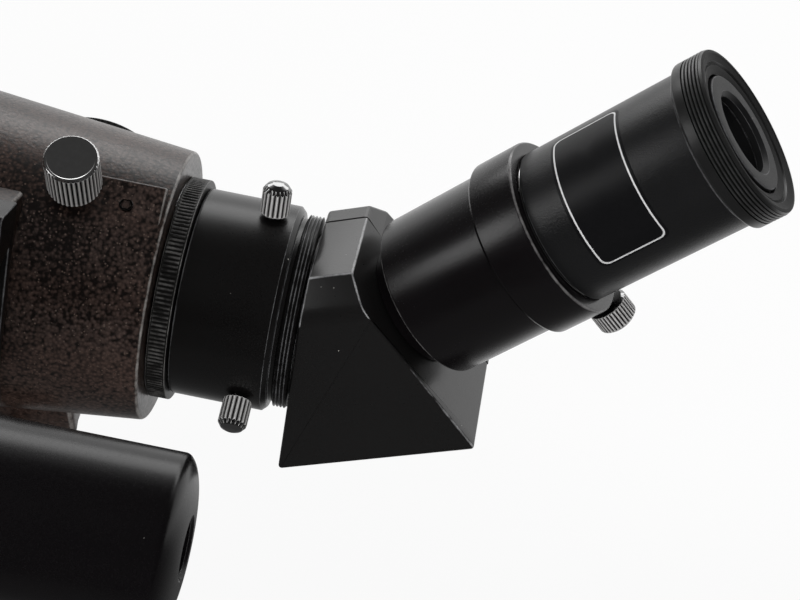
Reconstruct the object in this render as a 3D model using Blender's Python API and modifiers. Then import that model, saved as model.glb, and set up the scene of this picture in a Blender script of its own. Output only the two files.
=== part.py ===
# Short refractor telescope with a rack focuser, a 45 degree erecting diagonal and a finder scope.
# Metres, +Z up. +X is the way the light travels; -Y is the side with the finder.
# The origin is the middle of the dovetail bar's lower face.

import math

import bmesh
import bpy
from mathutils import Matrix, Vector

# Gaps between neighbours
SEAT_GAP = 0.0003
RUNNING_GAP = 0.0003
HOLE_GAP = 0.0003

# How far a cutter reaches past a face
CUT_PAST = 0.001

# Round pieces: how many sides they have
SIDES_LARGE = 28
SIDES_MEDIUM = 18
SIDES_SMALL = 12
SIDES_HOLE = 8

# How long the marks of the frames are drawn
FRAME_MARK = 0.02

# Where the focuser's rear face lies along the optical axis
REAR_FACE_X = 0.170

# Main tube; its places are measured along the axis from the focuser's rear face
TUBE_RADIUS = 0.045
TUBE_WALL = 0.0015
TUBE_REAR = -0.078
TUBE_LENGTH = 0.190
BAFFLE_PLACE = -0.222
BAFFLE_DEPTH = 0.0125
BAFFLE_RIM = 0.008
BAFFLE_THICKNESS = 0.001

# Objective
CELL_RIM = 0.001
CELL_LENGTH = 0.032
CELL_SPIGOT = 0.012
CELL_WALL = 0.0042
SEAT_DEPTH = 0.019
LENS_LEDGE = 0.003
LENS_FRONT_CURVE = 0.240
LENS_INNER_CURVE = 0.200
CROWN_EDGE = 0.0042
AIR_GAP = 0.0005
FLINT_EDGE = 0.0096
RETAINER_WIDTH = 0.0022
RETAINER_LENGTH = 0.003

# Dew shield
SHIELD_WALL = 0.002
SHIELD_LENGTH = 0.077
SHIELD_OVERLAP = 0.025
SHIELD_BEAD = 0.0008

# Focuser housing
HOUSING_END_RADIUS = 0.0294
HOUSING_TAPER = 0.107
HOUSING_SHOULDER = -0.066
HOUSING_FLANGE_RIM = 0.001
HOUSING_FLANGE_LENGTH = 0.005
HOUSING_SPIGOT = 0.014
HOUSING_SPIGOT_WALL = 0.0027
HOUSING_EDGE = 0.0006
HOUSING_ROOT = 0.0017
BORE_LENGTH = 0.056
HOUSING_INNER_RADIUS = 0.032
TUBE_SCREW_ANGLES = (30, 150, 270)
TUBE_SCREW_RADIUS = 0.0015
TUBE_SCREW_HEAD = 0.003
TUBE_SCREW_HEAD_HEIGHT = 0.0015

# Rib on top with the focus lock screw and the tension screw
RIB_FAR_SIDE = 0.0052
RIB_TOP = 0.0322
RIB_NEAR_SIDE = 0.0085
RIB_NEAR_TOP = 0.0275
RIB_LENGTH = 0.027
RIB_EDGE = 0.001
LOCK_PLACE = -0.0187
LOCK_HEAD_RADIUS = 0.00556
LOCK_HEAD_BASE = 0.0346
LOCK_HEAD_TOP = 0.0442
LOCK_SHANK_RADIUS = 0.002
TENSION_PLACE = -0.0084
TENSION_RADIUS = 0.0015
TENSION_SOCKET_RADIUS = 0.00085
TENSION_SOCKET_DEPTH = 0.0014
TENSION_SUNK = 0.0022

# Drawtube, rack and pinion
DRAWTUBE_RADIUS = 0.023
DRAWTUBE_WALL = 0.0018
DRAWTUBE_LENGTH = 0.092
TOOTH_PITCH = 0.00248
PINION_TEETH = 12
TOOTH_TIP = 0.0006
TOOTH_ROOT = 0.0009
RACK_BACK = 0.0020
RACK_WIDTH = 0.006
RACK_TEETH = 25
PINION_PLACE = -0.0303
PINION_WIDTH = 0.008
SHAFT_RADIUS = 0.0025
BLOCK_HALF_LENGTH = 0.0148
BLOCK_HALF_WIDTH = 0.028
BLOCK_BELOW_SHAFT = 0.009
BLOCK_TOP = 0.0093
BLOCK_EDGE = 0.0015
BLOCK_TAPER = 0.0053
BLOCK_TAPER_HEIGHT = 0.0149
COVER_THICKNESS = 0.0027
COVER_HALF_LENGTH = 0.0082
COVER_HALF_WIDTH = 0.012
COVER_SCREW_INSET = 0.0035
COVER_SCREW_RADIUS = 0.0011
COVER_SCREW_HEAD = 0.0021
COVER_SCREW_HEAD_HEIGHT = 0.0013
COVER_SCREW_LENGTH = 0.006
KNOB_RADIUS = 0.0126
KNOB_LENGTH = 0.0164
KNOB_HUB_RADIUS = 0.0055
KNOB_HUB_LENGTH = 0.0028
KNOB_STANDOFF = 0.0035
KNOB_WALL = 0.0065
KNOB_EDGE = 0.0006

# Knurled ring and eyepiece adapter at the end of the drawtube
RING_RADIUS = 0.02406
RING_LENGTH = 0.0041
RING_SPIGOT = 0.008
RING_BORE = 0.0176
ADAPTER_RADIUS = 0.0224
ADAPTER_LENGTH = 0.0208
ADAPTER_EDGE = 0.0008
ADAPTER_SPIGOT = 0.0086
NECK_RADIUS = 0.020
NECK_LENGTH = 0.0013
THREAD_RADIUS = 0.021
THREAD_LENGTH = 0.0029
CLAMP_PLACE = 0.0200
CLAMP_ANGLES = (-28.5, 91.5)
CLAMP_HEAD_RADIUS = 0.0031
CLAMP_HEAD_BASE = 0.0230
CLAMP_HEAD_TOP = 0.0303
CLAMP_SHANK_RADIUS = 0.0017

# Diagonal: the barrel, the prism and its housing
BARREL_RADIUS = 0.015875
NOSE_LENGTH = 0.028
NOSE_BORE = 0.0136
NOSE_SPIGOT_RADIUS = 0.0123
NOSE_SPIGOT = 0.0019
NOSE_CLEAR_RADIUS = 0.0106
DIAGONAL_TURN = 23.7
BEND = 45.0
TURN_POINT = 0.04396
ENTRY_DISTANCE = 0.0137
EXIT_DISTANCE = 0.0117
ROOF_HEIGHT = 0.0201
TOP_HEIGHT = 0.0227
TOP_LENGTH = 0.0087
EXIT_UPPER = 0.01365
SIDE_HALF_WIDTH = 0.0206
TOP_HALF_WIDTH = 0.0124
DIAGONAL_EDGE = 0.0007
COVER_SPLIT = 0.008
PRISM_HALF_WIDTH = 0.0105
PRISM_TOP = 0.0143
PRISM_ROOF = 0.0182
PRISM_ENTRY = 0.0109
PRISM_EXIT = 0.0075
PRISM_GAP = 0.0004
SIDE_SCREW_RADIUS = 0.001
SIDE_SCREW_HEAD = 0.0019
SIDE_SCREW_HEAD_HEIGHT = 0.0012
SIDE_SCREW_DEPTH = 0.0052
SIDE_SCREW_LENGTH = 0.009
SIDE_SCREW_INSET = 0.0030
SIDE_SCREW_SPACING = 0.0051

# Eyepiece holder on the diagonal; its places are measured from the turning point
HOLDER_RADIUS = 0.01768
HOLDER_START = 0.016
HOLDER_NECK_RADIUS = 0.0133
HOLDER_SPIGOT_RADIUS = 0.0112
HOLDER_SPIGOT = 0.0023
HOLDER_CLEAR_RADIUS = 0.0100
HOLDER_SHOULDER = 0.021
COLLAR_RADIUS = 0.01924
COLLAR_START = 0.0395
COLLAR_END = 0.05004
COLLAR_EDGE = 0.0007
HOLDER_SCREW_PLACE = 0.0467
HOLDER_SCREW_HEAD_RADIUS = 0.0044
HOLDER_SCREW_HEAD_BASE = 0.0205
HOLDER_SCREW_HEAD_TOP = 0.0264
HOLDER_SCREW_SHANK = 0.0018

# Eyepiece
EYEPIECE_RADIUS = 0.01657
EYEPIECE_LENGTH = 0.0355
EYEPIECE_EDGE = 0.0005
INSERT_LENGTH = 0.025
INSERT_WALL = 0.0013
INSERT_NECK_RADIUS = 0.0136
INSERT_NECK = 0.008
INSERT_CLEAR_RADIUS = 0.0124
EYE_NECK_RADIUS = 0.0143
EYE_NECK = 0.0038
EYE_BORE = 0.011
EYE_OPENING = 0.009
EYE_STEP = 0.0036
FIELD_LENS_EDGE = 0.004
FIELD_LENS_CURVE = 0.035
EYE_LENS_EDGE = 0.004
EYE_LENS_CURVE = 0.028
PLATE_RADIUS = 0.0124
PLATE_OPENING = 0.0082
PLATE_THICKNESS = 0.0023
CUP_RADIUS = 0.0179
CUP_LIP_RADIUS = 0.0128
CUP_LENGTH = 0.0069
CUP_LIP = 0.0028
CUP_RIM = 0.0012
CUP_DISH = 0.0014
CUP_RIBS = 3
CUP_RIB_DEPTH = 0.0004

# Finder shoe on the housing; heights are measured from the optical axis
SHOE_ANGLE = 50.0
SHOE_REAR = -0.026
SHOE_LENGTH = 0.040
SHOE_HALF_WIDTH = 0.026
SHOE_SEAT = 0.0368
SHOE_FLOOR = 0.003
SHOE_WALL_HEIGHT = 0.0076
SLOT_FLOOR_HALF = 0.0174
SLOT_MOUTH_HALF = 0.0144
PAD_MARGIN = 0.002
SHOE_SCREW_SPACING = 0.016
SHOE_SCREW_RADIUS = 0.0016
SHOE_SCREW_HEAD = 0.003
SHOE_SCREW_HEAD_HEIGHT = 0.0018
SHOE_SCREW_LENGTH = 0.009
SHOE_CLAMP_SHANK = 0.0019
SHOE_CLAMP_HEAD_RADIUS = 0.005
SHOE_CLAMP_HEAD = 0.008
SHOE_CLAMP_STANDOFF = 0.001

# Finder scope; its places are measured along its own axis from the focuser's rear face
FINDER_HEIGHT = 0.109
FINDER_TUBE_RADIUS = 0.014
FINDER_TUBE_WALL = 0.0012
FINDER_TUBE_FRONT = -0.150
FINDER_TUBE_REAR = -0.014
FINDER_REAR_RADIUS = 0.0152
FINDER_REAR_END = 0.0243
FINDER_REAR_LENGTH = 0.0503
FINDER_REAR_ROUND = 0.005
FINDER_REAR_CROWN = 0.0095
FINDER_REAR_BORE = 0.011
FINDER_EYE_OPENING = 0.005
FINDER_EYE_WALL = 0.0063
FINDER_LENS_EDGE = 0.0035
FINDER_EYE_CURVE = 0.030
FINDER_CELL_RADIUS = 0.019
FINDER_CELL_LENGTH = 0.035
FINDER_CELL_OVERLAP = 0.0054
FINDER_CELL_CLEAR = 0.0134
FINDER_LENS_RADIUS = 0.0153
FINDER_LENS_PLACE = -0.158
FINDER_LENS_CURVE = 0.090
LOCK_RING_RADIUS = 0.017
LOCK_RING_LENGTH = 0.0055
BRACKET_RADIUS = 0.023
BRACKET_BORE = 0.0185
BRACKET_REAR = -0.032
BRACKET_LENGTH = 0.028
STEM_HALF_WIDTH = 0.005
STEM_HALF_LENGTH = 0.010
STEM_SINK = 0.0030
FOOT_LENGTH = 0.034
RUBBER_RING_INSET = 0.004
AIM_ANGLES = (-55, 55)
AIM_INSET = 0.006
AIM_SHANK = 0.002
AIM_HEAD_RADIUS = 0.0045
AIM_HEAD = 0.008
AIM_STANDOFF = 0.0012
SPRING_PIN_RADIUS = 0.003
SPRING_PIN_LENGTH = 0.0145

# Foot: dovetail bar, saddle and their bolts
BAR_HALF_WIDTH = 0.0215
BAR_TOP_HALF_WIDTH = 0.0178
BAR_HEIGHT = 0.014
BAR_LENGTH = 0.120
BAR_EDGE = 0.0012
SADDLE_RISE = 0.0064
SADDLE_HALF_WIDTH = 0.018
SADDLE_LENGTH = 0.060
BOLT_SPACING = 0.040
BOLT_RADIUS = 0.003
BOLT_HEAD = 0.005
BOLT_HEAD_HEIGHT = 0.005
BOLT_SUNK = 0.003
NUT_HALF_WIDTH = 0.0055
NUT_HEIGHT = 0.0043
NUT_SEAT = 0.0012

# Values that follow from the sizes above
AXIS_HEIGHT = BAR_HEIGHT + SADDLE_RISE + TUBE_RADIUS + 2 * SEAT_GAP
TUBE_BORE = TUBE_RADIUS - TUBE_WALL
TUBE_FRONT = TUBE_REAR - TUBE_LENGTH
BAFFLE_OPENING = TUBE_BORE - BAFFLE_DEPTH
SPIGOT_RADIUS = TUBE_BORE - SEAT_GAP
CELL_RADIUS = TUBE_RADIUS + CELL_RIM
CELL_REAR = TUBE_FRONT - SEAT_GAP
CELL_FRONT = CELL_REAR - CELL_LENGTH
CELL_BORE = CELL_RADIUS - CELL_WALL
LENS_RADIUS = CELL_BORE - SEAT_GAP
CELL_CLEAR_RADIUS = LENS_RADIUS - LENS_LEDGE
LENS_SEAT = CELL_FRONT + SEAT_DEPTH
SHIELD_BORE = CELL_RADIUS + RUNNING_GAP
SHIELD_RADIUS = SHIELD_BORE + SHIELD_WALL
HOUSING_FLANGE_RADIUS = TUBE_RADIUS + HOUSING_FLANGE_RIM
HOUSING_FRONT = TUBE_REAR + SEAT_GAP
DRAWTUBE_BORE = DRAWTUBE_RADIUS - DRAWTUBE_WALL
HOUSING_BORE = DRAWTUBE_RADIUS + RUNNING_GAP
PITCH_RADIUS = PINION_TEETH * TOOTH_PITCH / (2 * math.pi)
RACK_TOP = DRAWTUBE_RADIUS + SEAT_GAP
PITCH_LINE = RACK_TOP + RACK_BACK + TOOTH_ROOT
SHAFT_DROP = PITCH_LINE + PITCH_RADIUS
BLOCK_BOTTOM = SHAFT_DROP + BLOCK_BELOW_SHAFT
KNOB_START = BLOCK_HALF_WIDTH + KNOB_STANDOFF
KNOB_END = KNOB_START + KNOB_HUB_LENGTH + KNOB_LENGTH
RING_FRONT = SEAT_GAP
RING_REAR = RING_FRONT + RING_LENGTH
ADAPTER_FRONT = RING_REAR + SEAT_GAP
ADAPTER_REAR = ADAPTER_FRONT + ADAPTER_LENGTH
THREAD_FRONT = ADAPTER_REAR + NECK_LENGTH
THREAD_REAR = THREAD_FRONT + THREAD_LENGTH
BARREL_BORE = BARREL_RADIUS + RUNNING_GAP
ENTRY_FACE = TURN_POINT - ENTRY_DISTANCE
HALF_BEND = math.radians(BEND / 2)
HOLDER_FRONT = EXIT_DISTANCE + SEAT_GAP
EYEPIECE_FRONT = COLLAR_END + SEAT_GAP
EYEPIECE_REAR = EYEPIECE_FRONT + EYEPIECE_LENGTH
EYE_NECK_END = EYEPIECE_REAR + EYE_NECK
SLOT_FLOOR = SHOE_SEAT + SEAT_GAP + SHOE_FLOOR
SHOE_TOP = SLOT_FLOOR + SHOE_WALL_HEIGHT
SHOE_MIDDLE = SHOE_REAR - SHOE_LENGTH / 2
FINDER_TUBE_BORE = FINDER_TUBE_RADIUS - FINDER_TUBE_WALL
FINDER_SOCKET = FINDER_TUBE_RADIUS + SEAT_GAP
BRACKET_MIDDLE = BRACKET_REAR - BRACKET_LENGTH / 2

BLACK_PAINT = ((0.035, 0.030, 0.028), 0.45, 0.3)
SATIN_BLACK = ((0.028, 0.028, 0.030), 0.40, 0.2)
BLACK_PLASTIC = ((0.030, 0.030, 0.032), 0.45, 0.0)
RUBBER = ((0.040, 0.040, 0.042), 0.75, 0.0)
CHROME = ((0.75, 0.75, 0.76), 0.12, 1.0)
STEEL = ((0.45, 0.45, 0.46), 0.35, 1.0)
ALUMINIUM = ((0.62, 0.62, 0.63), 0.35, 1.0)
BRASS = ((0.70, 0.55, 0.28), 0.30, 1.0)
GLASS = ((0.55, 0.62, 0.60), 0.05, 0.0)


# Scene, frames and materials

def clear_scene():
    for item in list(bpy.data.objects):
        bpy.data.objects.remove(item, do_unlink=True)
    for name in ("refractor_telescope", "cutters"):
        old = bpy.data.collections.get(name)
        if old:
            bpy.data.collections.remove(old)
        bpy.context.scene.collection.children.link(bpy.data.collections.new(name))


def frame(name, origin, up, along, parent=None):
    """An empty whose local x points up and whose local z points along."""
    empty = bpy.data.objects.new(name, None)
    empty.empty_display_size = FRAME_MARK
    bpy.data.collections["refractor_telescope"].objects.link(empty)
    x_axis = Vector(up).normalized()
    z_axis = Vector(along).normalized()
    y_axis = z_axis.cross(x_axis)
    turn = Matrix((x_axis, y_axis, z_axis)).transposed().to_4x4()
    empty.matrix_basis = Matrix.Translation(origin) @ turn
    empty.parent = parent
    return empty


def radial_frame(name, axis_frame, angle, along):
    """An empty on a frame's axis whose local z points outwards, angle degrees from its x towards its y."""
    turn = math.radians(angle)
    outwards = (math.cos(turn), math.sin(turn), 0)
    return frame(name, (0, 0, along), (0, 0, 1), outwards, axis_frame)


def finish(item, look):
    colour, roughness, metallic = look
    material = bpy.data.materials.new(item.name + "_finish")
    material.use_nodes = True
    shader = material.node_tree.nodes["Principled BSDF"]
    shader.inputs["Base Color"].default_value = (*colour, 1)
    shader.inputs["Roughness"].default_value = roughness
    shader.inputs["Metallic"].default_value = metallic
    item.data.materials.append(material)


def place(name, mesh, parent, look=None):
    """Put a mesh in the scene: a part where it has a look, otherwise a cutter."""
    item = bpy.data.objects.new(name, mesh)
    item.parent = parent
    home = "refractor_telescope" if look else "cutters"
    bpy.data.collections[home].objects.link(item)
    if look:
        finish(item, look)
    else:
        item.hide_render = True
        item.display_type = "WIRE"
    return item


def shade(mesh):
    mesh.shade_smooth()
    mesh.set_sharp_from_angle(angle=math.radians(35))


# Shapes

def turned(name, profile, parent, look=None, sides=SIDES_LARGE, ring=True):
    """Turn a profile of (radius, place) points about the frame's axis. A ring's profile is a closed loop."""
    mesh = bpy.data.meshes.new(name)
    points = [(radius, 0, place_along) for radius, place_along in profile]
    edges = [(k, k + 1) for k in range(len(points) - 1)]
    if ring:
        edges.append((len(points) - 1, 0))
    mesh.from_pydata(points, edges, [])
    item = place(name, mesh, parent, look)
    screw = item.modifiers.new("turn", "SCREW")
    screw.steps = sides
    screw.render_steps = sides
    screw.use_merge_vertices = True
    screw.merge_threshold = 0.00001
    screw.use_smooth_shade = False
    return item


def box(name, low, high, parent, look=None, edge=0.0):
    low, high = Vector(low), Vector(high)
    shape = bmesh.new()
    bmesh.ops.create_cube(shape, size=1.0)
    middle = (low + high) / 2
    size = high - low
    for corner in shape.verts:
        corner.co = Vector(c * s for c, s in zip(corner.co, size)) + middle
    mesh = bpy.data.meshes.new(name)
    shape.to_mesh(mesh)
    shape.free()
    item = place(name, mesh, parent, look)
    if edge:
        soften(item, edge)
    return item


def rods(name, ends, radius, parent, look=None, sides=SIDES_HOLE):
    """Straight rods of one radius between pairs of points."""
    shape = bmesh.new()
    for start, end in ends:
        start, end = Vector(start), Vector(end)
        turn = (end - start).to_track_quat("Z", "Y").to_matrix().to_4x4()
        where = Matrix.Translation((start + end) / 2) @ turn
        bmesh.ops.create_cone(shape, cap_ends=True, segments=sides, radius1=radius, radius2=radius,
                              depth=(end - start).length, matrix=where)
    mesh = bpy.data.meshes.new(name)
    shape.to_mesh(mesh)
    shape.free()
    return place(name, mesh, parent, look)


def outline(name, points, low, high, parent, look=None, axes=((1, 0, 0), (0, 1, 0)), hole=None):
    """Extrude a flat outline from low to high. axes say which way its two coordinates run."""
    curve = bpy.data.curves.new(name, "CURVE")
    curve.dimensions = "2D"
    curve.fill_mode = "BOTH"
    curve.extrude = (high - low) / 2
    for loop in (points, hole):
        if not loop:
            continue
        spline = curve.splines.new("POLY")
        spline.points.add(len(loop) - 1)
        for point, (a, b) in zip(spline.points, loop):
            point.co = (a, b, 0, 1)
        spline.use_cyclic_u = True
    flat = bpy.data.objects.new(name + "_outline", curve)
    bpy.context.scene.collection.objects.link(flat)
    view = bpy.context.evaluated_depsgraph_get()
    mesh = bpy.data.meshes.new_from_object(flat.evaluated_get(view))
    bpy.data.objects.remove(flat, do_unlink=True)
    mesh.materials.clear()
    first, second = Vector(axes[0]), Vector(axes[1])
    third = first.cross(second)
    turn = Matrix((first, second, third)).transposed().to_4x4()
    shape = bmesh.new()
    shape.from_mesh(mesh)
    bmesh.ops.remove_doubles(shape, verts=shape.verts, dist=0.000001)
    if not hole:
        bmesh.ops.dissolve_limit(shape, angle_limit=math.radians(1), verts=shape.verts, edges=shape.edges)
    bmesh.ops.recalc_face_normals(shape, faces=shape.faces)
    bmesh.ops.transform(shape, matrix=turn @ Matrix.Translation((0, 0, (low + high) / 2)),
        verts=shape.verts)
    shape.to_mesh(mesh)
    shape.free()
    return place(name, mesh, parent, look)


def soften(item, width, sides=2):
    bevel = item.modifiers.new("edges", "BEVEL")
    bevel.width = width
    bevel.segments = sides
    bevel.limit_method = "ANGLE"
    bevel.angle_limit = math.radians(25)


def combine(item, tool, operation):
    change = item.modifiers.new(operation.lower(), "BOOLEAN")
    change.operation = operation
    change.object = tool
    change.solver = "EXACT"


def cut(item, tool):
    combine(item, tool, "DIFFERENCE")


def join(item, tool):
    combine(item, tool, "UNION")


def dome(radius, curve):
    """Depth of a round surface of that curve at that radius."""
    return curve - math.sqrt(curve * curve - radius * radius)


def rim_bulge(radius, opening, curve):
    """How far a round lens stands CUT_PAST its edge where an opening's rim meets it."""
    return dome(radius, curve) - dome(opening, curve)


def lens(name, radius, front, rear, front_curve, rear_curve, parent, sides):
    """A lens between two edge places. A positive curve bulges outwards, zero is flat."""
    steps = 2
    shares = [k / steps for k in range(steps + 1)]

    def bulge(at, curve):
        if not curve:
            return 0.0
        return math.copysign(rim_bulge(radius, at, abs(curve)), curve)

    back = [(radius * s, rear + bulge(radius * s, rear_curve)) for s in shares]
    face = [(radius * s, front - bulge(radius * s, front_curve)) for s in reversed(shares)]
    return turned(name, back + face, parent, GLASS, sides, ring=False)


def hand_screw(name, axis, tip, base, top, shank, head, look, sides=SIDES_SMALL):
    """A screw with a domed grip, about a radial frame's axis."""
    crown = head * 0.16
    profile = [(0, top), (head * 0.55, top - crown * 0.3), (head * 0.9, top - crown), (head,
        top - 2 * crown), (head, base), (shank, base), (shank, tip), (0, tip)]
    return turned(name, profile, axis, look, sides, ring=False)


def small_screws(name, spots, way, shank, length, head, head_height, parent):
    """Numbered fasteners of one kind. Each spot is where the underside of a head sits."""
    across = (1, 0, 0) if abs(way[2]) > 0 else (0, 0, 1)
    profile = [(0, head_height), (head, head_height), (head, 0), (shank, 0), (shank, -length), (0,
        -length)]
    for number, spot in enumerate(spots, 1):
        label = "%s_%d" % (name, number) if len(spots) > 1 else name
        axis = frame(label + "_axis", spot, across, way, parent)
        turned(label, profile, axis, STEEL, SIDES_HOLE, ring=False)


# Tube and objective

def build_tube(optical):
    tube = turned("main_tube", [(TUBE_RADIUS, TUBE_REAR), (TUBE_RADIUS, TUBE_FRONT), (TUBE_BORE,
        TUBE_FRONT), (TUBE_BORE, TUBE_REAR)], optical, BLACK_PAINT)
    inner = SPIGOT_RADIUS - BAFFLE_THICKNESS
    step = BAFFLE_PLACE + BAFFLE_THICKNESS
    turned("tube_baffle", [(SPIGOT_RADIUS, BAFFLE_PLACE + BAFFLE_RIM), (SPIGOT_RADIUS, BAFFLE_PLACE),
                           (BAFFLE_OPENING, BAFFLE_PLACE), (BAFFLE_OPENING, step), (inner, step),
                           (inner, BAFFLE_PLACE + BAFFLE_RIM)], optical, SATIN_BLACK)
    return tube


def build_objective(optical):
    turned("objective_cell", [(SPIGOT_RADIUS, CELL_REAR + CELL_SPIGOT), (SPIGOT_RADIUS, CELL_REAR),
        (CELL_RADIUS, CELL_REAR), (CELL_RADIUS, CELL_FRONT), (CELL_BORE, CELL_FRONT), (CELL_BORE,
        LENS_SEAT), (CELL_CLEAR_RADIUS, LENS_SEAT), (CELL_CLEAR_RADIUS, CELL_REAR + CELL_SPIGOT)],
        optical, SATIN_BLACK)
    flint_rear = LENS_SEAT - SEAT_GAP
    flint_front = flint_rear - FLINT_EDGE
    lens("flint_lens", LENS_RADIUS, flint_front, flint_rear, -LENS_INNER_CURVE, 0, optical, SIDES_LARGE)
    crown_rear = flint_front - AIR_GAP
    crown_front = crown_rear - CROWN_EDGE
    lens("crown_lens", LENS_RADIUS, crown_front, crown_rear, LENS_FRONT_CURVE, LENS_INNER_CURVE, optical,
         SIDES_LARGE)
    opening = LENS_RADIUS - RETAINER_WIDTH
    ring_rear = crown_front - rim_bulge(LENS_RADIUS, opening, LENS_FRONT_CURVE) - SEAT_GAP
    ring_front = ring_rear - RETAINER_LENGTH
    turned("retaining_ring", [(LENS_RADIUS, ring_rear), (LENS_RADIUS, ring_front), (opening, ring_front),
                              (opening, ring_rear)], optical, SATIN_BLACK)
    shield_rear = CELL_FRONT + SHIELD_OVERLAP
    shield_front = shield_rear - SHIELD_LENGTH
    bead = 4 * SHIELD_BEAD
    turned("dew_shield", [(SHIELD_RADIUS, shield_rear), (SHIELD_RADIUS, shield_front + bead),
                          (SHIELD_RADIUS + SHIELD_BEAD, shield_front + bead - SHIELD_BEAD),
                          (SHIELD_RADIUS + SHIELD_BEAD, shield_front + SHIELD_BEAD),
                          (SHIELD_RADIUS, shield_front), (SHIELD_BORE, shield_front),
                          (SHIELD_BORE, shield_rear)], optical, BLACK_PAINT)


# Focuser housing with everything that is cut into it

def block_outline():
    """The pinion block's side view as (along, down): its ends slope in towards the bottom."""
    front, rear = PINION_PLACE - BLOCK_HALF_LENGTH, PINION_PLACE + BLOCK_HALF_LENGTH
    bend = BLOCK_BOTTOM - BLOCK_TAPER_HEIGHT
    return [(front, BLOCK_TOP), (front, bend), (front + BLOCK_TAPER, BLOCK_BOTTOM),
            (rear - BLOCK_TAPER, BLOCK_BOTTOM), (rear, bend), (rear, BLOCK_TOP)]


def build_housing(optical, tube):
    shoulder_radius = HOUSING_END_RADIUS - HOUSING_TAPER * HOUSING_SHOULDER
    flange_rear = HOUSING_FRONT + HOUSING_FLANGE_LENGTH
    swell = HOUSING_FLANGE_RADIUS - shoulder_radius
    spigot_end = HOUSING_FRONT - HOUSING_SPIGOT
    spigot_bore = SPIGOT_RADIUS - HOUSING_SPIGOT_WALL
    flare = (HOUSING_INNER_RADIUS - HOUSING_BORE) * 0.7
    housing = turned("focuser_housing", [
        (HOUSING_END_RADIUS - HOUSING_EDGE, 0), (HOUSING_END_RADIUS, -HOUSING_EDGE),
        (shoulder_radius, HOUSING_SHOULDER),
        (shoulder_radius + swell * 0.2, HOUSING_SHOULDER + (flange_rear - HOUSING_SHOULDER) * 0.5),
        (shoulder_radius + swell * 0.8, flange_rear),
        (HOUSING_FLANGE_RADIUS, flange_rear - HOUSING_EDGE), (HOUSING_FLANGE_RADIUS, HOUSING_FRONT),
        (SPIGOT_RADIUS, HOUSING_FRONT), (SPIGOT_RADIUS, spigot_end), (spigot_bore, spigot_end),
        (spigot_bore, HOUSING_FRONT), (HOUSING_INNER_RADIUS, flange_rear),
        (HOUSING_INNER_RADIUS, -BORE_LENGTH - flare), (HOUSING_BORE, -BORE_LENGTH), (HOUSING_BORE, 0)],
        optical, BLACK_PAINT)

    # The rib, the pinion block and the shoe pad join the casting inside its wall
    wall_middle = HOUSING_BORE + HOUSING_ROOT
    core = turned("housing_core", [(0, CUT_PAST), (wall_middle, CUT_PAST), (wall_middle,
        -BORE_LENGTH - CUT_PAST), (0, -BORE_LENGTH - CUT_PAST)], optical, ring=False)
    rib = outline("rib", [(0, -RIB_FAR_SIDE), (RIB_TOP, -RIB_FAR_SIDE), (RIB_NEAR_TOP, RIB_NEAR_SIDE),
        (0, RIB_NEAR_SIDE)], -RIB_LENGTH, -2 * HOUSING_EDGE, optical)
    soften(rib, RIB_EDGE)
    block = outline("pinion_block", block_outline(), -BLOCK_HALF_WIDTH, BLOCK_HALF_WIDTH, optical,
                    axes=((0, 0, 1), (-1, 0, 0)))
    soften(block, BLOCK_EDGE)
    shoe_axis = frame("shoe_axis", (0, 0, 0), shoe_direction(), (0, 0, 1), optical)
    pad_half = SHOE_HALF_WIDTH - PAD_MARGIN
    pad = box("shoe_pad", (HOUSING_BORE, -pad_half, -BORE_LENGTH),
              (SHOE_SEAT, pad_half, SHOE_REAR - PAD_MARGIN), shoe_axis, edge=RIB_EDGE)
    for tool in (rib, block, pad):
        cut(tool, core)
        join(housing, tool)

    slot_half = RACK_WIDTH / 2 + RUNNING_GAP
    slot_floor = PITCH_LINE + TOOTH_TIP + RUNNING_GAP
    cut(housing, box("rack_slot", (-slot_floor, -slot_half, -BORE_LENGTH - 2 * flare),
                     (-HOUSING_BORE * 0.5, slot_half, CUT_PAST), optical))
    gear_room = PITCH_RADIUS + TOOTH_TIP + 2 * RUNNING_GAP
    gear_half = PINION_WIDTH / 2 + 2 * RUNNING_GAP
    cut(housing, box("gear_room", (-BLOCK_BOTTOM - CUT_PAST, -gear_half, PINION_PLACE - gear_room),
                     (-HOUSING_BORE * 0.8, gear_half, PINION_PLACE + gear_room), optical))
    past_block = BLOCK_HALF_WIDTH + CUT_PAST
    cut(housing, rods("shaft_hole", [((-SHAFT_DROP, -past_block, PINION_PLACE), (-SHAFT_DROP, past_block,
        PINION_PLACE))], SHAFT_RADIUS + RUNNING_GAP, optical, sides=SIDES_SMALL))
    hole_bottom, hole_top = HOUSING_BORE * 0.7, RIB_TOP + CUT_PAST
    cut(housing, rods("lock_hole", [((hole_bottom, 0, LOCK_PLACE), (hole_top, 0, LOCK_PLACE))],
                      LOCK_SHANK_RADIUS + HOLE_GAP, optical))
    cut(housing, rods("tension_hole", [((hole_bottom, 0, TENSION_PLACE), (hole_top, 0, TENSION_PLACE))],
                      TENSION_RADIUS + HOLE_GAP, optical))

    # Screws through the tube into the spigot
    screw_place = HOUSING_FRONT - HOUSING_SPIGOT / 2
    seat = TUBE_RADIUS + SEAT_GAP
    reach = seat - spigot_bore + HOLE_GAP
    for side, angle in zip(("near", "low", "far"), TUBE_SCREW_ANGLES):
        axis = radial_frame("tube_screw_axis_" + side, optical, angle, screw_place)
        hole = rods("tube_screw_hole_" + side, [((0, 0, spigot_bore * 0.9), (0, 0, seat + CUT_PAST))],
                    TUBE_SCREW_RADIUS + HOLE_GAP, axis)
        cut(housing, hole)
        cut(tube, hole)
        small_screws("tube_screw_" + side, [(0, 0, seat)], (0, 0, 1), TUBE_SCREW_RADIUS, reach,
                     TUBE_SCREW_HEAD, TUBE_SCREW_HEAD_HEIGHT, axis)

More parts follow.
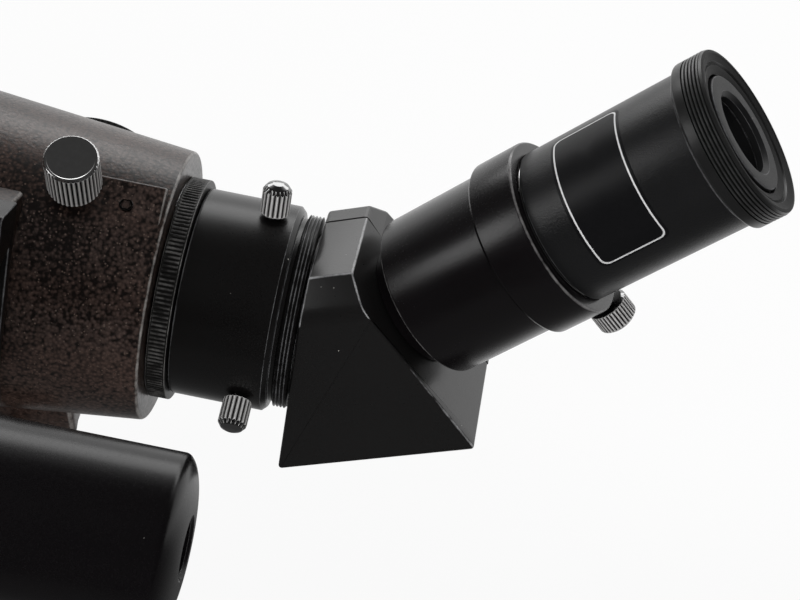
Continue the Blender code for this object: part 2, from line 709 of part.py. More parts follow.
    # Cover below the pinion
    cover_top = BLOCK_BOTTOM + SEAT_GAP
    cover_bottom = cover_top + COVER_THICKNESS
    cover = box("pinion_cover", (-cover_bottom, -COVER_HALF_WIDTH, PINION_PLACE - COVER_HALF_LENGTH),
                (-cover_top, COVER_HALF_WIDTH, PINION_PLACE + COVER_HALF_LENGTH), optical, SATIN_BLACK,
                edge=HOUSING_EDGE)
    across = COVER_HALF_WIDTH - COVER_SCREW_INSET
    along = COVER_HALF_LENGTH - COVER_SCREW_INSET
    spots = [(-cover_bottom - SEAT_GAP, side * across, PINION_PLACE + side * along) for side in (-1, 1)]
    cover_holes = rods("cover_screw_holes", [((x - CUT_PAST, y, z), (x + COVER_SCREW_LENGTH + CUT_PAST, y,
        z)) for x, y, z in spots], COVER_SCREW_RADIUS + HOLE_GAP, optical)
    cut(housing, cover_holes)
    cut(cover, cover_holes)
    small_screws("pinion_cover_screw", spots, (-1, 0, 0), COVER_SCREW_RADIUS, COVER_SCREW_LENGTH,
                 COVER_SCREW_HEAD, COVER_SCREW_HEAD_HEIGHT, optical)

    # Lock screw and tension screw
    tip = DRAWTUBE_RADIUS + 2 * RUNNING_GAP
    lock_axis = radial_frame("lock_axis", optical, 0, LOCK_PLACE)
    hand_screw("focus_lock_screw", lock_axis, tip, LOCK_HEAD_BASE, LOCK_HEAD_TOP, LOCK_SHANK_RADIUS,
               LOCK_HEAD_RADIUS, CHROME, SIDES_MEDIUM)
    tension_axis = radial_frame("tension_axis", optical, 0, TENSION_PLACE)
    tension_top = RIB_TOP - TENSION_SUNK
    socket_floor = tension_top - TENSION_SOCKET_DEPTH
    turned("tension_screw", [(0, socket_floor), (TENSION_SOCKET_RADIUS, socket_floor),
        (TENSION_SOCKET_RADIUS, tension_top), (TENSION_RADIUS, tension_top), (TENSION_RADIUS, tip), (0,
        tip)], tension_axis, STEEL, SIDES_HOLE, ring=False)
    return housing, shoe_axis


# Drawtube with its rack, and the pinion that drives it

def tooth_outline():
    """The pinion's outline: straight-sided teeth on the root circle, one tooth pointing up."""
    root, tip = PITCH_RADIUS - TOOTH_ROOT, PITCH_RADIUS + TOOTH_TIP
    step = 2 * math.pi / PINION_TEETH
    points = []
    for tooth in range(PINION_TEETH):
        middle = tooth * step
        for share, radius in ((-0.36, root), (-0.10, tip), (0.10, tip), (0.36, root)):
            angle = middle + share * step
            points.append((radius * math.cos(angle), radius * math.sin(angle)))
    return points


def rack_outline():
    """The rack's side view as (along, down): teeth with a gap over the pinion."""
    first = PINION_PLACE + TOOTH_PITCH / 2
    root, tip = PITCH_LINE - TOOTH_ROOT, PITCH_LINE + TOOTH_TIP
    points = [(first + TOOTH_PITCH / 2, RACK_TOP)]
    points.append((first + TOOTH_PITCH / 2, root))
    for tooth in range(RACK_TEETH):
        middle = first - tooth * TOOTH_PITCH
        for share, depth in ((0.30, root), (0.10, tip), (-0.10, tip), (-0.30, root)):
            points.append((middle + share * TOOTH_PITCH, depth))
    last = first - (RACK_TEETH - 0.5) * TOOTH_PITCH
    points.append((last, root))
    points.append((last, RACK_TOP))
    return points


def build_drawtube(optical):
    turned("drawtube", [(DRAWTUBE_RADIUS, 0), (DRAWTUBE_RADIUS, -DRAWTUBE_LENGTH), (DRAWTUBE_BORE,
        -DRAWTUBE_LENGTH), (DRAWTUBE_BORE, 0)], optical, ALUMINIUM)
    outline("rack", rack_outline(), -RACK_WIDTH / 2, RACK_WIDTH / 2, optical, BRASS,
            axes=((0, 0, 1), (-1, 0, 0)))
    ring_spigot = DRAWTUBE_BORE - SEAT_GAP
    turned("knurled_ring", [(RING_RADIUS, RING_REAR), (RING_RADIUS, RING_FRONT), (ring_spigot,
        RING_FRONT), (ring_spigot, RING_FRONT - RING_SPIGOT), (RING_BORE, RING_FRONT - RING_SPIGOT),
        (RING_BORE, RING_REAR)], optical, SATIN_BLACK)


def build_pinion(optical):
    axis = frame("pinion_axis", (-SHAFT_DROP, 0, PINION_PLACE), (1, 0, 0), (0, 1, 0), optical)
    bore = SHAFT_RADIUS + SEAT_GAP
    turns = [2 * math.pi * k / SIDES_SMALL for k in range(SIDES_SMALL)]
    outline("pinion_gear", tooth_outline(), -PINION_WIDTH / 2, PINION_WIDTH / 2, axis, BRASS,
            hole=[(bore * math.cos(a), bore * math.sin(a)) for a in turns])
    shaft_end = KNOB_END - KNOB_WALL - SEAT_GAP
    rods("pinion_shaft", [((0, 0, -shaft_end), (0, 0, shaft_end))], SHAFT_RADIUS, axis, STEEL,
        SIDES_SMALL)
    body = KNOB_START + KNOB_HUB_LENGTH
    dish = KNOB_EDGE * 0.5
    profile = [(0, KNOB_END - dish), (KNOB_RADIUS * 0.7, KNOB_END - dish), (KNOB_RADIUS * 0.82, KNOB_END),
        (KNOB_RADIUS, KNOB_END - KNOB_EDGE), (KNOB_RADIUS, body + KNOB_EDGE), (KNOB_RADIUS - KNOB_EDGE,
        body), (KNOB_HUB_RADIUS, body), (KNOB_HUB_RADIUS, KNOB_START), (bore, KNOB_START), (bore,
        KNOB_END - KNOB_WALL), (0, KNOB_END - KNOB_WALL)]
    turned("focus_knob_left", profile, axis, BLACK_PLASTIC, SIDES_LARGE, ring=False)
    far = frame("pinion_axis_far", (0, 0, 0), (1, 0, 0), (0, 0, -1), axis)
    turned("focus_knob_right", profile, far, BLACK_PLASTIC, SIDES_LARGE, ring=False)


def build_adapter(optical):
    spigot = RING_BORE - SEAT_GAP
    spigot_front = ADAPTER_FRONT - ADAPTER_SPIGOT
    adapter = turned("eyepiece_adapter", [(THREAD_RADIUS - ADAPTER_EDGE * 0.4, THREAD_REAR),
        (THREAD_RADIUS, THREAD_REAR - ADAPTER_EDGE * 0.4), (THREAD_RADIUS, THREAD_FRONT), (NECK_RADIUS,
        THREAD_FRONT - NECK_LENGTH * 0.3), (NECK_RADIUS, ADAPTER_REAR), (ADAPTER_RADIUS - ADAPTER_EDGE,
        ADAPTER_REAR), (ADAPTER_RADIUS, ADAPTER_REAR - ADAPTER_EDGE), (ADAPTER_RADIUS, ADAPTER_FRONT),
        (spigot, ADAPTER_FRONT), (spigot, spigot_front), (BARREL_BORE, spigot_front), (BARREL_BORE,
        THREAD_REAR)], optical, SATIN_BLACK)
    tip = BARREL_BORE + RUNNING_GAP
    for name, angle in zip(("adapter_screw_upper", "adapter_screw_lower"), CLAMP_ANGLES):
        axis = radial_frame(name + "_axis", optical, angle, CLAMP_PLACE)
        cut(adapter, rods(name + "_hole", [((0, 0, NOSE_BORE), (0, 0, CLAMP_HEAD_BASE))],
                          CLAMP_SHANK_RADIUS + HOLE_GAP, axis))
        hand_screw(name, axis, tip, CLAMP_HEAD_BASE, CLAMP_HEAD_TOP, CLAMP_SHANK_RADIUS,
            CLAMP_HEAD_RADIUS, CHROME, SIDES_SMALL)


# Diagonal: the bend plane holds the optical axis (z) and the bend direction (x)

def roof_point(along, height):
    """The point of a line parallel to the prism's roof, at a height over the turning point."""
    return (along, (height + along * math.sin(HALF_BEND)) / math.cos(HALF_BEND))


def exit_point(distance, across):
    """A point a distance out along the eyepiece's axis and across it, away from the bend."""
    turn = math.radians(BEND)
    return (distance * math.cos(turn) + across * math.sin(turn),
        distance * math.sin(turn) - across * math.cos(turn))


def exit_at_height(distance, height):
    """Where a plane square to the eyepiece's axis meets a line parallel to the roof."""
    across = (distance * math.sin(HALF_BEND) - height) / math.cos(HALF_BEND)
    return exit_point(distance, across)


def height_way():
    """The way that heights over the prism's roof run."""
    return Vector((math.cos(HALF_BEND), 0, -math.sin(HALF_BEND)))


def trim(mesh, planes):
    """Cut a solid mesh off at planes, each a spot and the way that goes, and close the cuts."""
    shape = bmesh.new()
    shape.from_mesh(mesh)
    for spot, normal in planes:
        geometry = shape.verts[:] + shape.edges[:] + shape.faces[:]
        bmesh.ops.bisect_plane(shape, geom=geometry, dist=0.000001, plane_co=spot, plane_no=normal,
            clear_outer=True)
        rim = [edge for edge in shape.edges if edge.is_boundary]
        bmesh.ops.contextual_create(shape, geom=rim)
    bmesh.ops.recalc_face_normals(shape, faces=shape.faces)
    shape.to_mesh(mesh)
    shape.free()


def diagonal_case(name, parent, look):
    """The housing's outer shape: sides that lean in a little from the roof up to the height of the
    exit's upper corner, and slope in at 45 degrees from there to the top."""
    entry = -ENTRY_DISTANCE
    upper = exit_point(EXIT_DISTANCE, -EXIT_UPPER)
    crease = height_way().dot(Vector((upper[1], 0, upper[0])))
    crease_half = TOP_HALF_WIDTH + TOP_HEIGHT - crease
    corners = [(roof_point(entry, TOP_HEIGHT), TOP_HALF_WIDTH),
        (roof_point(entry + TOP_LENGTH, TOP_HEIGHT), TOP_HALF_WIDTH), (upper, crease_half),
        (exit_at_height(EXIT_DISTANCE, -ROOF_HEIGHT), SIDE_HALF_WIDTH),
        (roof_point(entry, -ROOF_HEIGHT), SIDE_HALF_WIDTH), (roof_point(entry, crease), crease_half)]
    shape = bmesh.new()
    near = [shape.verts.new((across, half, along)) for (along, across), half in corners]
    far = [shape.verts.new((across, -half, along)) for (along, across), half in corners]
    for side in (near, far):
        shape.faces.new((side[0], side[1], side[2], side[5]))
        shape.faces.new((side[5], side[2], side[3], side[4]))
    for k in range(4):
        shape.faces.new((near[k], near[k + 1], far[k + 1], far[k]))
    shape.faces.new((near[0], near[5], near[4], far[4], far[5], far[0]))
    bmesh.ops.recalc_face_normals(shape, faces=shape.faces)
    mesh = bpy.data.meshes.new(name)
    shape.to_mesh(mesh)
    shape.free()
    case = place(name, mesh, parent, look)
    soften(case, DIAGONAL_EDGE)
    case.modifiers.new("facets", "TRIANGULATE")
    return case


def build_prism(parent):
    """A roof prism: a gable section along the roof, cut square to both light paths."""
    half = PRISM_HALF_WIDTH
    reach = 3 * half
    section = [(half, PRISM_TOP), (half, half - PRISM_ROOF), (0, -PRISM_ROOF), (-half, half - PRISM_ROOF),
               (-half, PRISM_TOP)]
    prism = outline("prism", section, -reach, reach, parent, GLASS, axes=((0, 1, 0), height_way()))
    turn = math.radians(BEND)
    exit_way = Vector((math.sin(turn), 0, math.cos(turn)))
    trim(prism.data, [((0, 0, -PRISM_ENTRY), (0, 0, -1)), (exit_way * PRISM_EXIT, exit_way)])


def build_diagonal(optical):
    turn = math.radians(-DIAGONAL_TURN)
    bend_way = (math.cos(turn), math.sin(turn), 0)
    bend_axis = frame("bend_axis", (0, 0, TURN_POINT), bend_way, (0, 0, 1), optical)
    lean = math.radians(BEND)
    eye_axis = frame("eyepiece_axis", (0, 0, 0), (-math.cos(lean), 0, math.sin(lean)),
                     (math.sin(lean), 0, math.cos(lean)), bend_axis)

    nose_rear = -ENTRY_DISTANCE - SEAT_GAP
    nose_front = nose_rear - NOSE_LENGTH
    spigot_rear = nose_rear + NOSE_SPIGOT
    throat = (NOSE_BORE - NOSE_CLEAR_RADIUS) * 0.7
    turned("diagonal_nose", [(NOSE_SPIGOT_RADIUS, spigot_rear), (NOSE_SPIGOT_RADIUS, nose_rear),
        (BARREL_RADIUS, nose_rear), (BARREL_RADIUS, nose_front), (NOSE_BORE, nose_front), (NOSE_BORE,
        nose_rear - 2 * throat), (NOSE_CLEAR_RADIUS, nose_rear - throat), (NOSE_CLEAR_RADIUS,
        spigot_rear)], bend_axis, CHROME, SIDES_MEDIUM)

    body = diagonal_case("diagonal_body", bend_axis, BLACK_PLASTIC)
    cover = diagonal_case("diagonal_cover", bend_axis, BLACK_PLASTIC)
    reach = ROOF_HEIGHT + TOP_HEIGHT + ENTRY_DISTANCE
    wide = 2 * SIDE_HALF_WIDTH
    cut(body, box("far_side", (-reach, -wide, -reach), (reach, SEAT_GAP / 2 - COVER_SPLIT, reach),
        bend_axis))
    cut(cover, box("near_side", (-reach, -SEAT_GAP / 2 - COVER_SPLIT, -reach), (reach, wide, reach),
        bend_axis))

    pocket_entry = -PRISM_ENTRY - PRISM_GAP
    pocket_exit = PRISM_EXIT + PRISM_GAP
    pocket_top, pocket_roof = PRISM_TOP + PRISM_GAP, PRISM_ROOF + PRISM_GAP
    pocket_half = PRISM_HALF_WIDTH + PRISM_GAP
    pocket = outline("prism_pocket", [roof_point(pocket_entry, pocket_top), exit_at_height(pocket_exit,
        pocket_top), exit_at_height(pocket_exit, -pocket_roof), roof_point(pocket_entry, -pocket_roof)],
        -pocket_half, pocket_half, bend_axis, axes=((0, 0, 1), (1, 0, 0)))
    entry_hole = rods("entry_hole", [((0, 0, -ENTRY_DISTANCE - CUT_PAST), (0, 0,
        pocket_entry + CUT_PAST))], NOSE_SPIGOT_RADIUS + SEAT_GAP, bend_axis, sides=SIDES_MEDIUM)
    exit_hole = rods("exit_hole", [((0, 0, pocket_exit - CUT_PAST), (0, 0, EXIT_DISTANCE + CUT_PAST))],
                     HOLDER_SPIGOT_RADIUS + SEAT_GAP, eye_axis, sides=SIDES_MEDIUM)
    for item in (body, cover):
        for tool in (pocket, entry_hole, exit_hole):
            cut(item, tool)
    build_prism(bend_axis)

    # Two screws hold the far cover, sunk into its sloping edge above the prism
    band = (TOP_HEIGHT + pocket_top) / 2
    edge_half = TOP_HALF_WIDTH + TOP_HEIGHT - band
    spots = []
    for inset in (SIDE_SCREW_INSET, SIDE_SCREW_INSET + SIDE_SCREW_SPACING):
        along, up = roof_point(inset - ENTRY_DISTANCE, band)
        spots.append((up, SIDE_SCREW_DEPTH - edge_half - SIDE_SCREW_HEAD_HEIGHT, along))
    head_room = [((x, y, z), (x, y - 2 * SIDE_SCREW_DEPTH, z)) for x, y, z in spots]
    shank_room = [((x, y + SIDE_SCREW_LENGTH + CUT_PAST, z), (x, y - CUT_PAST, z)) for x, y, z in spots]
    heads = rods("side_screw_heads", head_room, SIDE_SCREW_HEAD + HOLE_GAP, bend_axis)
    shanks = rods("side_screw_shanks", shank_room, SIDE_SCREW_RADIUS + HOLE_GAP, bend_axis)
    cut(cover, heads)
    cut(cover, shanks)
    cut(body, shanks)
    seats = [(x, y - SEAT_GAP, z) for x, y, z in spots]
    small_screws("diagonal_screw", seats, (0, -1, 0), SIDE_SCREW_RADIUS, SIDE_SCREW_LENGTH,
        SIDE_SCREW_HEAD, SIDE_SCREW_HEAD_HEIGHT, bend_axis)
    return eye_axis


def build_holder(eye_axis):
    step = COLLAR_RADIUS - HOLDER_RADIUS
    holder = turned("eyepiece_holder", [(COLLAR_RADIUS - COLLAR_EDGE, COLLAR_END), (COLLAR_RADIUS,
        COLLAR_END - COLLAR_EDGE), (COLLAR_RADIUS, COLLAR_START + step * 0.4), (HOLDER_RADIUS,
        COLLAR_START - step * 0.2), (HOLDER_RADIUS, HOLDER_START + COLLAR_EDGE),
        (HOLDER_RADIUS - COLLAR_EDGE, HOLDER_START), (HOLDER_NECK_RADIUS, HOLDER_START),
        (HOLDER_NECK_RADIUS, HOLDER_FRONT), (HOLDER_SPIGOT_RADIUS, HOLDER_FRONT), (HOLDER_SPIGOT_RADIUS,
        HOLDER_FRONT - HOLDER_SPIGOT), (HOLDER_CLEAR_RADIUS, HOLDER_FRONT - HOLDER_SPIGOT),
        (HOLDER_CLEAR_RADIUS, HOLDER_SHOULDER), (BARREL_BORE, HOLDER_SHOULDER), (BARREL_BORE,
        COLLAR_END)], eye_axis, BLACK_PLASTIC)
    axis = radial_frame("holder_screw_axis", eye_axis, 0, HOLDER_SCREW_PLACE)
    cut(holder, rods("holder_screw_hole", [((0, 0, INSERT_CLEAR_RADIUS), (0, 0, HOLDER_SCREW_HEAD_BASE))],
                     HOLDER_SCREW_SHANK + HOLE_GAP, axis))
    hand_screw("holder_screw", axis, BARREL_BORE + RUNNING_GAP, HOLDER_SCREW_HEAD_BASE,
        HOLDER_SCREW_HEAD_TOP, HOLDER_SCREW_SHANK, HOLDER_SCREW_HEAD_RADIUS, CHROME, SIDES_MEDIUM)


def cup_outline():
    """The eyecup's section: a raised rim round a dished end, and grooves between ribs outside."""
    start = EYEPIECE_REAR + SEAT_GAP
    end = start + CUP_LENGTH
    pitch = CUP_LENGTH / (CUP_RIBS + 1)
    points = [(CUP_RADIUS - CUP_RIM, end), (CUP_RADIUS - CUP_RIB_DEPTH, end),
              (CUP_RADIUS, end - CUP_RIB_DEPTH)]
    for rib in range(1, CUP_RIBS + 1):
        middle = end - rib * pitch
        points.append((CUP_RADIUS, middle + pitch * 0.2))
        points.append((CUP_RADIUS - CUP_RIB_DEPTH, middle))
        points.append((CUP_RADIUS, middle - pitch * 0.2))
    points.append((CUP_RADIUS, start + CUP_RIB_DEPTH))
    points.append((CUP_RADIUS - CUP_RIB_DEPTH, start))
    bore = EYE_NECK_RADIUS + SEAT_GAP
    lip = end - CUP_LIP
    return points + [(bore, start), (bore, lip), (CUP_LIP_RADIUS, lip), (CUP_LIP_RADIUS, end - CUP_DISH)]


def build_eyepiece(eye_axis):
    insert_bore = BARREL_RADIUS - INSERT_WALL
    insert_front = COLLAR_END - INSERT_LENGTH
    shoulder = COLLAR_END - INSERT_NECK
    neck_end = COLLAR_END + INSERT_NECK
    turned("eyepiece_barrel", [(INSERT_NECK_RADIUS, neck_end), (INSERT_NECK_RADIUS, COLLAR_END),
        (BARREL_RADIUS, COLLAR_END), (BARREL_RADIUS, insert_front), (insert_bore, insert_front),
        (insert_bore, shoulder), (INSERT_CLEAR_RADIUS, shoulder), (INSERT_CLEAR_RADIUS, neck_end)],
        eye_axis, CHROME, SIDES_MEDIUM)
    field_radius = INSERT_CLEAR_RADIUS - SEAT_GAP
    field_front = COLLAR_END - FIELD_LENS_EDGE / 2
    lens("field_lens", field_radius, field_front, field_front + FIELD_LENS_EDGE, FIELD_LENS_CURVE, 0,
        eye_axis, SIDES_MEDIUM)
    socket = INSERT_NECK_RADIUS + SEAT_GAP
    ceiling = neck_end + SEAT_GAP
    step = EYE_NECK_END - EYE_STEP
    turned("eyepiece_body", [(EYE_NECK_RADIUS, EYE_NECK_END), (EYE_NECK_RADIUS, EYEPIECE_REAR),
        (EYEPIECE_RADIUS - EYEPIECE_EDGE, EYEPIECE_REAR), (EYEPIECE_RADIUS,
        EYEPIECE_REAR - EYEPIECE_EDGE), (EYEPIECE_RADIUS, EYEPIECE_FRONT + EYEPIECE_EDGE),
        (EYEPIECE_RADIUS - EYEPIECE_EDGE, EYEPIECE_FRONT), (socket, EYEPIECE_FRONT), (socket, ceiling),
        (EYE_BORE, ceiling), (EYE_BORE, step), (EYE_OPENING, step), (EYE_OPENING, EYE_NECK_END)],
        eye_axis, BLACK_PLASTIC)
    lens_radius = EYE_BORE - SEAT_GAP
    lens_rear = step - SEAT_GAP - rim_bulge(lens_radius, EYE_OPENING, EYE_LENS_CURVE)
    lens("eye_lens", lens_radius, lens_rear - EYE_LENS_EDGE, lens_rear, EYE_LENS_CURVE, EYE_LENS_CURVE,
         eye_axis, SIDES_MEDIUM)
    turned("eyecup", cup_outline(), eye_axis, RUBBER)
    plate_front = EYE_NECK_END + SEAT_GAP
    plate_rear = plate_front + PLATE_THICKNESS
    chamfer = PLATE_THICKNESS * 0.4
    turned("eye_plate", [(PLATE_OPENING + chamfer, plate_rear), (PLATE_RADIUS, plate_rear), (PLATE_RADIUS,
        plate_front), (PLATE_OPENING, plate_front), (PLATE_OPENING, plate_rear - chamfer)], eye_axis,
        SATIN_BLACK, SIDES_MEDIUM)


# Finder: the shoe on the housing, the bracket that slides into it, and the scope

def shoe_direction():
    turn = math.radians(SHOE_ANGLE)
    return (math.cos(turn), math.sin(turn), 0)


def build_shoe(shoe_axis, housing):
    front = SHOE_REAR - SHOE_LENGTH
    seat = SHOE_SEAT + SEAT_GAP
    edge = SHOE_WALL_HEIGHT * 0.2
    half = SHOE_HALF_WIDTH
    section = [(seat, -half), (SHOE_TOP - edge, -half), (SHOE_TOP, edge - half), (SHOE_TOP,
        -SLOT_MOUTH_HALF), (SLOT_FLOOR, -SLOT_FLOOR_HALF), (SLOT_FLOOR, SLOT_FLOOR_HALF), (SHOE_TOP,
        SLOT_MOUTH_HALF), (SHOE_TOP, half - edge), (SHOE_TOP - edge, half), (seat, half)]
    shoe = outline("finder_shoe", section, front, SHOE_REAR, shoe_axis, BLACK_PAINT)
    head_top = SLOT_FLOOR - SEAT_GAP
    under_head = head_top - SHOE_SCREW_HEAD_HEIGHT
    spots = [(under_head, 0, SHOE_MIDDLE + side * SHOE_SCREW_SPACING / 2) for side in (-1, 1)]
    heads = rods("shoe_screw_heads", [((x - SEAT_GAP, y, z), (SLOT_FLOOR + CUT_PAST, y, z)) for x, y,
        z in spots], SHOE_SCREW_HEAD + HOLE_GAP, shoe_axis)
    shanks = rods("shoe_screw_shanks", [((x - SHOE_SCREW_LENGTH - CUT_PAST, y, z), (x + CUT_PAST, y, z))
        for x, y, z in spots], SHOE_SCREW_RADIUS + HOLE_GAP, shoe_axis)
    cut(shoe, heads)
    cut(shoe, shanks)
    cut(housing, shanks)
    small_screws("shoe_fixing_screw", spots, (1, 0, 0), SHOE_SCREW_RADIUS, SHOE_SCREW_LENGTH,
        SHOE_SCREW_HEAD, SHOE_SCREW_HEAD_HEIGHT, shoe_axis)
    height = (SLOT_FLOOR + SHOE_TOP) / 2
    axis = frame("shoe_clamp_axis", (height, 0, SHOE_MIDDLE), (1, 0, 0), (0, 1, 0), shoe_axis)
    tip = (SLOT_FLOOR_HALF + SLOT_MOUTH_HALF) / 2 + 2 * RUNNING_GAP
    base = SHOE_HALF_WIDTH + SHOE_CLAMP_STANDOFF
    cut(shoe, rods("shoe_clamp_hole", [((0, 0, SLOT_MOUTH_HALF * 0.8), (0, 0, base))],
        SHOE_CLAMP_SHANK + HOLE_GAP, axis))
    hand_screw("shoe_clamp_screw", axis, tip, base, base + SHOE_CLAMP_HEAD, SHOE_CLAMP_SHANK,
        SHOE_CLAMP_HEAD_RADIUS, CHROME, SIDES_SMALL)


def build_bracket(shoe_axis, finder_axis):
    front = BRACKET_REAR - BRACKET_LENGTH
    bracket = turned("finder_bracket", [(BRACKET_RADIUS, BRACKET_REAR), (BRACKET_RADIUS, front),
        (BRACKET_BORE, front), (BRACKET_BORE, BRACKET_REAR)], finder_axis, BLACK_PAINT)
    stem_top = FINDER_HEIGHT - BRACKET_RADIUS + STEM_SINK
    stem = box("bracket_stem", (SLOT_FLOOR + SHOE_WALL_HEIGHT * 0.6, -STEM_HALF_WIDTH,
        BRACKET_MIDDLE - STEM_HALF_LENGTH), (stem_top, STEM_HALF_WIDTH,
        BRACKET_MIDDLE + STEM_HALF_LENGTH), shoe_axis, edge=RIB_EDGE)
    foot_floor = SLOT_FLOOR + SEAT_GAP
    lean = (SLOT_FLOOR_HALF - SLOT_MOUTH_HALF) / SHOE_WALL_HEIGHT
    floor_half = SLOT_FLOOR_HALF - RUNNING_GAP * 1.2 - SEAT_GAP * lean
    top_half = SLOT_MOUTH_HALF - RUNNING_GAP * 1.2
    foot = outline("bracket_foot", [(foot_floor, -floor_half), (foot_floor, floor_half), (SHOE_TOP,
        top_half), (SHOE_TOP, -top_half)], SHOE_MIDDLE - FOOT_LENGTH / 2, SHOE_MIDDLE + FOOT_LENGTH / 2,
        shoe_axis)
    join(bracket, stem)
    join(bracket, foot)

    ring_middle = (FINDER_TUBE_RADIUS + BRACKET_BORE) / 2
    ring_section = (BRACKET_BORE - FINDER_TUBE_RADIUS) / 2 - SEAT_GAP
    turns = [-2 * math.pi * k / SIDES_HOLE for k in range(SIDES_HOLE)]
    place_along = BRACKET_REAR - RUBBER_RING_INSET
    turned("finder_rubber_ring", [(ring_middle + ring_section * math.cos(a),
        place_along + ring_section * math.sin(a)) for a in turns], finder_axis, RUBBER, SIDES_MEDIUM)

    along = front + AIM_INSET
    tip = FINDER_TUBE_RADIUS + SEAT_GAP
    base = BRACKET_RADIUS + AIM_STANDOFF
    for name, angle in zip(("finder_aim_screw_left", "finder_aim_screw_right"), AIM_ANGLES):
        axis = radial_frame(name + "_axis", finder_axis, angle, along)
        cut(bracket, rods(name + "_hole", [((0, 0, FINDER_TUBE_RADIUS), (0, 0, base))],
            AIM_SHANK + HOLE_GAP, axis))
        hand_screw(name, axis, tip, base, base + AIM_HEAD, AIM_SHANK, AIM_HEAD_RADIUS, BLACK_PLASTIC,
            SIDES_SMALL)
    axis = radial_frame("spring_pin_axis", finder_axis, 180, along)
    cut(bracket, rods("spring_pin_room", [((0, 0, FINDER_TUBE_RADIUS), (0, 0,
        tip + SPRING_PIN_LENGTH + SEAT_GAP))], SPRING_PIN_RADIUS + HOLE_GAP, axis))
    nose = SPRING_PIN_RADIUS * 0.4
    turned("finder_spring_pin", [(0, tip + SPRING_PIN_LENGTH), (SPRING_PIN_RADIUS,
        tip + SPRING_PIN_LENGTH), (SPRING_PIN_RADIUS, tip + nose), (SPRING_PIN_RADIUS - nose, tip), (0,
        tip)], axis, STEEL, SIDES_HOLE, ring=False)


def build_finder(finder_axis):
    turned("finder_tube", [(FINDER_TUBE_RADIUS, FINDER_TUBE_REAR), (FINDER_TUBE_RADIUS,
        FINDER_TUBE_FRONT), (FINDER_TUBE_BORE, FINDER_TUBE_FRONT), (FINDER_TUBE_BORE, FINDER_TUBE_REAR)],
        finder_axis, BLACK_PAINT, SIDES_MEDIUM)
    turns = [math.radians(a) for a in (90, 72, 54, 36, 18, 0)]
    rounding = [(FINDER_REAR_RADIUS - FINDER_REAR_CROWN * (1 - math.cos(a)),
                 FINDER_REAR_END - FINDER_REAR_ROUND * (1 - math.sin(a))) for a in turns]
    sleeve_front = FINDER_REAR_END - FINDER_REAR_LENGTH
    socket_end = FINDER_TUBE_REAR + SEAT_GAP
    inner_end = FINDER_REAR_END - FINDER_EYE_WALL
    turned("finder_eyepiece", rounding + [
        (FINDER_REAR_RADIUS, sleeve_front), (FINDER_SOCKET, sleeve_front), (FINDER_SOCKET, socket_end),
        (FINDER_REAR_BORE, socket_end), (FINDER_REAR_BORE, inner_end), (FINDER_EYE_OPENING, inner_end),
        (FINDER_EYE_OPENING, FINDER_REAR_END)], finder_axis, BLACK_PLASTIC, SIDES_LARGE)
    eye_radius = FINDER_REAR_BORE - SEAT_GAP
    eye_rear = inner_end - SEAT_GAP - rim_bulge(eye_radius, FINDER_EYE_OPENING, FINDER_EYE_CURVE)
    lens("finder_eye_lens", eye_radius, eye_rear - FINDER_LENS_EDGE, eye_rear, FINDER_EYE_CURVE,
         FINDER_EYE_CURVE, finder_axis, SIDES_SMALL)
    cell_rear = FINDER_TUBE_FRONT + FINDER_CELL_OVERLAP
    cell_front = cell_rear - FINDER_CELL_LENGTH
    lens_bore = FINDER_LENS_RADIUS + SEAT_GAP
    seat = FINDER_TUBE_FRONT - SEAT_GAP
    edge = FINDER_CELL_RADIUS - LOCK_RING_RADIUS
    turned("finder_objective_cell", [(LOCK_RING_RADIUS, cell_rear), (FINDER_CELL_RADIUS,
        cell_rear - edge), (FINDER_CELL_RADIUS, cell_front), (lens_bore, cell_front), (lens_bore,
        FINDER_LENS_PLACE), (FINDER_CELL_CLEAR, FINDER_LENS_PLACE), (FINDER_CELL_CLEAR, seat),
        (FINDER_SOCKET, seat), (FINDER_SOCKET, cell_rear)], finder_axis, BLACK_PLASTIC, SIDES_MEDIUM)
    lens_rear = FINDER_LENS_PLACE - SEAT_GAP
    lens("finder_lens", FINDER_LENS_RADIUS, lens_rear - FINDER_LENS_EDGE, lens_rear, FINDER_LENS_CURVE, 0,
         finder_axis, SIDES_MEDIUM)
    ring_front = cell_rear + SEAT_GAP
    ring_rear = ring_front + LOCK_RING_LENGTH
    turned("finder_lock_ring", [(LOCK_RING_RADIUS, ring_rear), (LOCK_RING_RADIUS, ring_front),
        (FINDER_SOCKET, ring_front), (FINDER_SOCKET, ring_rear)], finder_axis, BLACK_PLASTIC,
        SIDES_MEDIUM)


# Foot: what a mount's clamp holds

